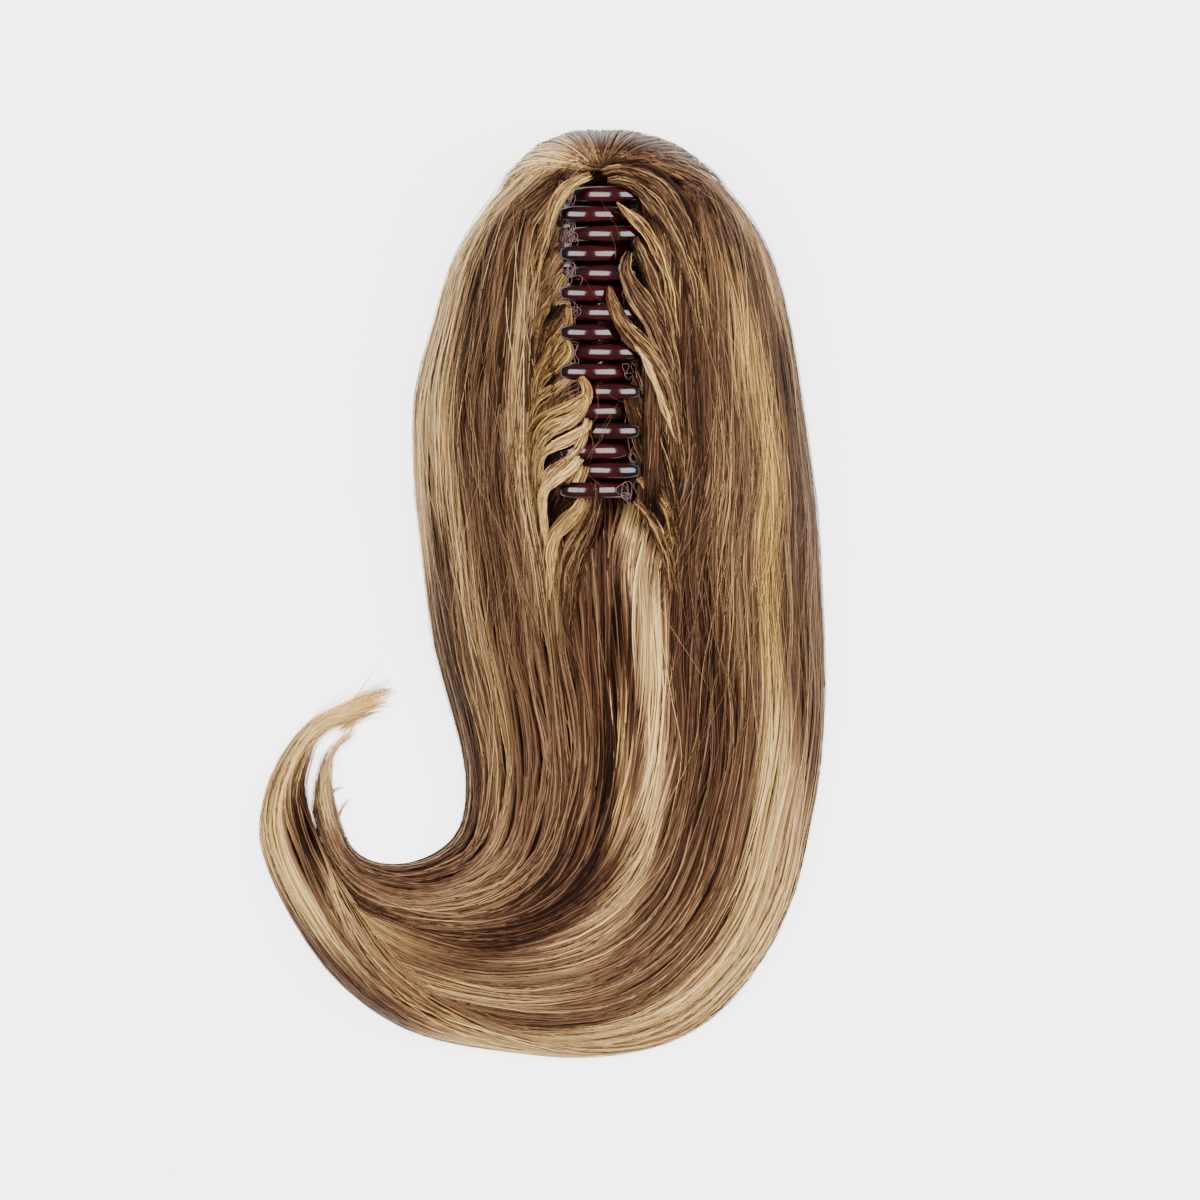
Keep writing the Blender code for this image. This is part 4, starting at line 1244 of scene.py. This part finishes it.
def hair_material(name, roughness, level):
    """Hair in the tones painted on the mesh, at a share of their lightness."""
    made, nodes, links, shader = new_material(name, roughness)
    tone = nodes.new("ShaderNodeAttribute")
    tone.attribute_name = "tone"
    low, high = level * (1.0 - HAIR_MOTTLE), level * (1.0 + HAIR_MOTTLE)
    mixed = noise_mix(nodes, links, tone.outputs["Color"], HAIR_NOISE, low, high)
    links.new(mixed, shader.inputs["Base Color"])
    shader.inputs["Specular IOR Level"].default_value = HAIR_SPECULAR
    shader.inputs["Specular Tint"].default_value = HAIR_SHINE
    return made


def mottled_material(name, colour, noise, low, high, roughness, metallic=0.0):
    """One plain colour, a little uneven."""
    made, nodes, links, shader = new_material(name, roughness)
    base = nodes.new("ShaderNodeRGB")
    base.outputs[0].default_value = (*colour, 1.0)
    links.new(noise_mix(nodes, links, base.outputs[0], noise, low, high), shader.inputs["Base Color"])
    shader.inputs["Metallic"].default_value = metallic
    return made


def tortoise_material():
    """Dark wine plastic, painted redder in the middle of the teeth: a painted glow of light coming through
    them.
    """
    made, nodes, links, shader = new_material("tortoise_plastic", PLASTIC_ROUGHNESS)
    place, noise = new_noise(nodes, links, PLASTIC_NOISE)
    parts = nodes.new("ShaderNodeSeparateXYZ")
    links.new(place.outputs["Object"], parts.inputs["Vector"])
    off = nodes.new("ShaderNodeMath")
    off.operation = "ABSOLUTE"
    links.new(parts.outputs["X"], off.inputs[0])
    # Painted glow: redder towards the middle of the teeth
    near = nodes.new("ShaderNodeMapRange")
    near.inputs["From Min"].default_value = PAINTED_GLOW_REACH
    near.inputs["From Max"].default_value = 0.0
    near.inputs["To Max"].default_value = PAINTED_GLOW_LIFT
    links.new(off.outputs["Value"], near.inputs["Value"])
    both = nodes.new("ShaderNodeMath")
    both.operation = "ADD"
    links.new(noise.outputs["Fac"], both.inputs[0])
    links.new(near.outputs["Result"], both.inputs[1])
    ramp = nodes.new("ShaderNodeValToRGB")
    for stop, (position, colour) in zip(ramp.color_ramp.elements, PLASTIC_STOPS):
        stop.position = position
        stop.color = colour
    links.new(both.outputs["Value"], ramp.inputs["Fac"])
    links.new(ramp.outputs["Color"], shader.inputs["Base Color"])
    shader.inputs["IOR"].default_value = PLASTIC_IOR
    return made


def solid_copy(node, name, finish):
    """A copy of a solid's mesh as a new object, with its points and outward directions."""
    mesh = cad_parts[node].data.copy()
    mesh.name = name
    points = np.empty(len(mesh.vertices) * 3, dtype=np.float32)
    normal = np.empty(len(mesh.vertices) * 3, dtype=np.float32)
    mesh.vertices.foreach_get("co", points)
    mesh.vertices.foreach_get("normal", normal)
    mesh.materials.clear()
    mesh.materials.append(finish)
    return new_object(name, mesh), points.reshape(-1, 3), normal.reshape(-1, 3)


def move_points(made, points):
    made.data.vertices.foreach_set("co", points.ravel())
    made.data.shade_smooth()
    made.data.update()


def sleeve_lining(node, name, finish):
    """The net's dark ground, a sheet of painted shade a little inside the solid."""
    made, points, normal = solid_copy(node, name, finish)
    move_points(made, points - normal * LINING_INSET_MM * MM)
    return made


def core(node, name, finish, tone):
    """The solid's form drawn in a little, so that it shows only between the strands, painted dark as the
    shade under them.
    """
    made, points, normal = solid_copy(node, name, finish)
    inset = points - normal * CORE_INSET
    inset[:, 2] = np.maximum(inset[:, 2], CORE_LOWEST)
    parting = (np.abs(points[:, 0]) < PARTING_NEAR) & (points[:, 1] > HAIR_END - PARTING_NEAR)
    inset[parting, 0] = 0.0
    x, y = points[:, 0].astype(float), points[:, 1].astype(float)
    join = (y < -HAIR_END + JOIN_BEFORE) & (y > -HAIR_END - JOIN_AFTER) & (np.abs(x) < JOIN_REACH)
    top = np.maximum(plan_height(x, y) - JOIN_INSET, CORE_LOWEST)
    inset[join, 2] = np.minimum(inset[join, 2], top[join])
    if node in CORE_TIPS:
        tip, inward, reach = CORE_TIPS[node]
        gap = inset[:, :2] - np.array(px(*tip))
        close = np.clip(1.0 - np.linalg.norm(gap, axis=1) / (reach * PIXEL), 0.0, 1.0)
        close = close * (inset[:, 0] < px(CURL_RIGHT, 0)[0])
        target = np.array([*px(*inward), CORE_TIP_HEIGHT])
        inset = lerp(inset, target[None, :], np.sqrt(close)[:, None])
    streak, golden = streak_tone(x, y)
    # Painted shade: the core's tone is darker than the strands', with the streaks on it
    paint(made, colours(tone + CORE_STREAK * streak, golden))
    move_points(made, inset)
    return made


def claw_point(side, radius, degrees):
    """A point of a jaw's round part, in the plane across the pin."""
    angle = math.radians(degrees)
    x = JAW_CROSSING + radius * math.cos(angle)
    return -side * x, PIN_HEIGHT + JAW_RISE + radius * math.sin(angle)


def loft_faces(rings, ring_points, first):
    faces = []
    for row in range(rings - 1):
        for i in range(ring_points):
            j = (i + 1) % ring_points
            low, high = first + row * ring_points, first + (row + 1) * ring_points
            faces.append((low + i, low + j, high + j, high + i))
    return faces


# Edges sharper than this stay sharp
SHARP_DEG = 50

TOOTH_RINGS = 40
TOOTH_POINTS = 20
TOOTH_SQUARENESS = 2.2
TIP_ROUND = 9
TIP_START_DEG = 3.0
TIP_TURN_DEG = 3.6
TIP_LEAST = 0.04
ROOT_PAST_DEG = 6.0
WALL_STEPS = 8


def tooth_rings(side, middle):
    """Rings of one tooth, a rounded bar bent round the claw and closed in at its tip."""
    rings = []
    for step in range(TOOTH_RINGS + TIP_ROUND):
        if step < TOOTH_RINGS:
            start = WALL_TOP_DEG + ROOT_PAST_DEG
            degrees = lerp(start, TOOTH_TIP_DEG + TIP_START_DEG, step / (TOOTH_RINGS - 1))
            close = 1.0
        else:
            turn = (step - TOOTH_RINGS + 1) / TIP_ROUND * math.pi / 2
            degrees = TOOTH_TIP_DEG + TIP_START_DEG - TIP_TURN_DEG * math.sin(turn)
            close = max(math.cos(turn), TIP_LEAST)
        from_tip = min(1.0, max(0.0, (degrees - TOOTH_TIP_DEG) / TOOTH_TAPER_DEG))
        size = lerp(TOOTH_TIP_SHARE, 1.0, math.sqrt(from_tip)) * close
        half, thick = TOOTH_WIDTH / 2 * size, TOOTH_THICKNESS * size
        centre = JAW_RADIUS - TOOTH_THICKNESS / 2
        ring = []
        for i in range(TOOTH_POINTS):
            angle = 2 * math.pi * i / TOOTH_POINTS
            c, s = math.cos(angle), math.sin(angle)
            across = math.copysign(abs(c) ** (2 / TOOTH_SQUARENESS), c)
            up = math.copysign(abs(s) ** (2 / TOOTH_SQUARENESS), s)
            x, z = claw_point(side, centre + thick / 2 * up, degrees)
            ring.append((x, middle + half * across, z))
        rings.append(ring)
    return rings


def wall_rows(side):
    """The middle of a jaw's wall from handle tip to top: (x, z, half length)."""
    rows = [(side * HANDLE_SPREAD, PIN_HEIGHT - HANDLE_DROP, HANDLE_HALF_LENGTH)]
    x = lerp(WAIST_HALF, HANDLE_SPREAD, 0.35)
    rows.append((side * x, PIN_HEIGHT - 0.45 * HANDLE_DROP, HANDLE_HALF_LENGTH))
    rows.append((side * WAIST_HALF, PIN_HEIGHT, WAIST_HALF_LENGTH))
    x = lerp(WAIST_HALF, JAW_RADIUS - JAW_CROSSING, 0.25)
    rows.append((side * x, PIN_HEIGHT + 0.42 * JAW_RISE, CLIP_HALF * 0.60))
    for step in range(WALL_STEPS + 1):
        share = step / WALL_STEPS
        x, z = claw_point(side, JAW_RADIUS - WALL / 2, lerp(WALL_FOOT_DEG, WALL_TOP_DEG, share))
        rows.append((x, z, CLIP_HALF * lerp(0.86, 1.0, min(1.0, 2 * share))))
    return rows


def offset_rows(rows, distance, side):
    moved = []
    for i, (x, z, half) in enumerate(rows):
        before, after = rows[max(i - 1, 0)], rows[min(i + 1, len(rows) - 1)]
        run = Vector((after[0] - before[0], after[1] - before[1])).normalized()
        moved.append((x + side * run.y * distance, z - side * run.x * distance, half))
    return moved


def ear_rings(side, middle):
    """A flat ear round the pin, rounded at its free end and running into the jaw's waist."""
    outline = []
    for step in range(EAR_STEPS + 1):
        angle = math.pi * (step / EAR_STEPS - 0.5)
        outline.append((-side * EAR_RADIUS * math.cos(angle), EAR_RADIUS * math.sin(angle)))
    outline += [(side * WAIST_HALF, EAR_RADIUS), (side * WAIST_HALF, -EAR_RADIUS)]
    rings = []
    for end in (-1, 1):
        y = middle + end * EAR_WIDTH / 2
        rings.append([(x, y, PIN_HEIGHT + z) for x, z in outline])
    return rings


def jaw(side, first_tooth, ear_place):
    """A jaw: a curved wall, eight rounded teeth and two ears round the pin, in one mesh."""
    points, faces = [], []

    def add(rings):
        first = len(points)
        ring_points = len(rings[0])
        for ring in rings:
            points.extend(ring)
        faces.extend(loft_faces(len(rings), ring_points, first))
        for start in (first, first + (len(rings) - 1) * ring_points):
            middle = len(points)
            ring = points[start: start + ring_points]
            points.append(tuple(sum(p[k] for p in ring) / ring_points for k in range(3)))
            for i in range(ring_points):
                a, b = start + i, start + (i + 1) % ring_points
                faces.append((a, b, middle, middle))

    rows = wall_rows(side)
    near, far = offset_rows(rows, -WALL / 2, side), offset_rows(rows, WALL / 2, side)
    rings = []
    for (x0, z0, half), (x1, z1, _) in zip(near, far):
        rings.append([(x0, -half, z0), (x0, half, z0), (x1, half, z1), (x1, -half, z1)])
    add(rings)
    for i in range(TEETH_PER_JAW):
        middle = CLIP_HALF - TOOTH_WIDTH / 2 - (2 * i + first_tooth) * PITCH
        add(tooth_rings(side, middle))
    for end in (-1, 1):
        add(ear_rings(side, end * (FIRST_EAR + ear_place * EAR_STEP)))
    return points, faces


def jaw_object(name, side, first_tooth, ear_place, finish):
    points, faces = jaw(side, first_tooth, ear_place)
    mesh = bpy.data.meshes.new(name)
    clean = [tuple(dict.fromkeys(face)) for face in faces]
    mesh.from_pydata([tuple(p) for p in points], [], clean)
    mesh.validate()
    shell = bmesh.new()
    shell.from_mesh(mesh)
    bmesh.ops.recalc_face_normals(shell, faces=shell.faces)
    shell.to_mesh(mesh)
    shell.free()
    mesh.shade_smooth()
    mesh.set_sharp_from_angle(angle=math.radians(SHARP_DEG))
    mesh.materials.append(finish)
    return new_object(name, mesh)


def softbox(name, place, size, power):
    lamp = bpy.data.lights.new(name, "AREA")
    lamp.shape = "RECTANGLE"
    lamp.size, lamp.size_y = size
    lamp.energy = power
    made = new_object(name, lamp)
    made.location = place
    made.rotation_euler = (Vector(LIGHT_AIM) - Vector(place)).to_track_quat("-Z", "Y").to_euler()


SOFTBOXES = (
    # name, place, size, power
    ("left_softbox", (-0.64, 0.02, 1.3), (0.72, 1.1), 31.0),
    ("right_softbox", (0.87, 0.02, 1.15), (0.78, 1.1), 34.0),
)
LIGHT_AIM = (0.0, -0.06, 0.03)
WORLD_LIGHT = 0.25
FLOOR_GLOW = 2.9
FLOOR_REACH = 3.0
FLOOR_DROP = 0.0004
FLOOR_COLOUR = (0.86, 0.86, 0.86, 1.0)
FLOOR_SPECULAR = 0.1
CLIP_START = 0.05
CAMERA_HEIGHT = 2.5
FOCUS_HEIGHT = 0.040
SENSOR = 36.0


def studio():
    """Pale floor, soft light and a camera straight above."""
    floor_mesh = bpy.data.meshes.new("floor")
    signs = ((-1, -1), (1, -1), (1, 1), (-1, 1))
    corners = [(x * FLOOR_REACH, y * FLOOR_REACH, -FLOOR_DROP) for x, y in signs]
    floor_mesh.from_pydata(corners, [], [(0, 1, 2, 3)])
    floor = new_object("floor", floor_mesh)
    finish, _, _, shader = new_material("floor", 0.9)
    shader.inputs["Base Color"].default_value = FLOOR_COLOUR
    shader.inputs["Specular IOR Level"].default_value = FLOOR_SPECULAR
    shader.inputs["Emission Color"].default_value = (1.0, 1.0, 1.0, 1.0)
    shader.inputs["Emission Strength"].default_value = FLOOR_GLOW
    floor_mesh.materials.append(finish)

    world = bpy.data.worlds.new("studio")
    world.use_nodes = True
    background = world.node_tree.nodes["Background"]
    background.inputs["Color"].default_value = (1.0, 1.0, 1.0, 1.0)
    background.inputs["Strength"].default_value = WORLD_LIGHT
    bpy.context.scene.world = world

    for box in SOFTBOXES:
        softbox(*box)

    centre_x, centre_y = px(VIEW_PX / 2, VIEW_PX / 2)
    lens = bpy.data.cameras.new("camera")
    lens.sensor_width = SENSOR
    lens.lens = SENSOR * (CAMERA_HEIGHT - FOCUS_HEIGHT) / (VIEW_PX * PIXEL)
    lens.clip_start = CLIP_START
    camera = new_object("camera", lens)
    camera.location = (centre_x, centre_y, CAMERA_HEIGHT)
    bpy.context.scene.camera = camera


def dress_hair():
    strand = hair_material("strands", STRAND_ROUGHNESS, STRAND_LEVEL)
    under = hair_material("shaded_under_hair", UNDER_ROUGHNESS, UNDER_SHADE_LEVEL)
    rng = np.random.default_rng(11)
    pieces = []
    last = MANTLE["end"]
    tip = row_distance(INNER_TIP_ROW)
    # The falls' under layers are painted a little darker, as shade
    pieces.append(fall("left_fall_under", rng, -1, 900, 24, tip - 32 * MM, strand, depth=3.0 * MM,
                       high=-0.6 * MM, tone=BASE_TONE - 0.06))
    pieces.append(fall("left_fall", rng, -1, 2200, 34, tip - 24 * MM, strand))
    # Painted shade: this under layer is a little darker too
    pieces.append(fall("right_fall_under", rng, 1, 1000, 26, last - 25 * MM, strand, depth=3.0 * MM,
                       high=-0.6 * MM, tone=BASE_TONE - 0.06))
    pieces.append(fall("right_fall", rng, 1, 2300, 40, last - 17 * MM, strand))
    pieces.append(over_crown("left_crown", rng, -1, 620, 16, strand, tip=CROWN_TIP))
    pieces.append(over_crown("right_crown", rng, 1, 620, 16, strand, tip=CROWN_TIP))
    back_tip = row_distance(BACK_TIP_ROW)
    pieces.append(centre_tail("tail_middle", rng, 1500, 32, back_tip, strand, tone=CENTRE_TONE))
    pieces.append(fall("left_parting", rng, -1, 350, 32, tip - 24 * MM, strand, high_across=0.30, tone=0.42))
    pieces.append(fall("right_parting", rng, 1, 300, 28, last - 120 * MM, strand, high_across=0.30,
                       tone=0.30))
    pieces.append(ribbons("left_beside", *left_beside(rng, 520, 16), strand))
    pieces.append(curl_band("curl_band", rng, 900, 26, last - 15 * MM, strand, high=1.2 * MM, depth=2.0 * MM))
    pieces.append(wisps("main_tip", rng, 1, 300, 14, row_distance(14), last, 5.0 * MM, strand))
    pieces.append(wisps("inner_tip", rng, -1, 170, 14, row_distance(12), tip - 6 * MM, 3.0 * MM, strand))
    pieces.append(strays("left_strays", rng, -1, 420, 20, tip, strand))
    pieces.append(strays("right_strays", rng, 1, 540, 20, last, strand))
    pieces.append(tufts("frayed_ends", rng, 14, strand))
    pieces.append(over_teeth("hairs_over_teeth", rng, 16, 24, strand))
    pieces.append(ribbons("left_roots", *lock_strands(rng, LEFT_LOCKS, -1, 18, LEFT_LIFT), strand))
    for piece in pieces:
        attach(piece, "hairpiece")
    both = zip(lock_strands(rng, RIGHT_LOCKS, 1, 20), beside_strands(rng, 900, 20))
    beside = [np.concatenate(parts) for parts in both]
    roots = ribbons("right_roots", *beside, strand)
    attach(roots, "hairpiece")
    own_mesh(roots)
    for node in ("hair_left", "hair_right", "hair_back", "hair_beside_jaw"):
        made = core(node, "under_" + node, under, CORE_SHADE_TONE)
        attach(made, "hairpiece")
        if node == "hair_beside_jaw":
            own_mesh(made)
        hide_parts(node)


def dress_claw():
    plastic = tortoise_material()
    steel, thread, shade_lining = [mottled_material(name, *values) for name, values in MOTTLED.items()]
    for name, node, side, first, ear_place, body in (
        ("left_claw", "jaw_left", -1, 0, 1, "hairpiece"),
        ("right_claw", "jaw_right", 1, 1, 0, "right_jaw"),
    ):
        made = jaw_object(name, side, first, ear_place, plastic)
        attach(made, body)
        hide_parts(node)
    for node in ("hinge_pin", "hinge_spring"):
        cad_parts[node].data.materials.clear()
        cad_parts[node].data.materials.append(steel)
    rng = np.random.default_rng(5)
    for node, side, first, loops, body in (
        ("net_left", -1, 0, LEFT_LOOPS, "hairpiece"),
        ("net_right", 1, 1, RIGHT_LOOPS, "right_jaw"),
    ):
        under = sleeve_lining(node, "lining_" + node, shade_lining)
        made = net_threads("threads_" + node, rng, side, first, loops, thread)
        for piece in (under, made):
            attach(piece, body)
        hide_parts(node)


studio()
dress_hair()
dress_claw()
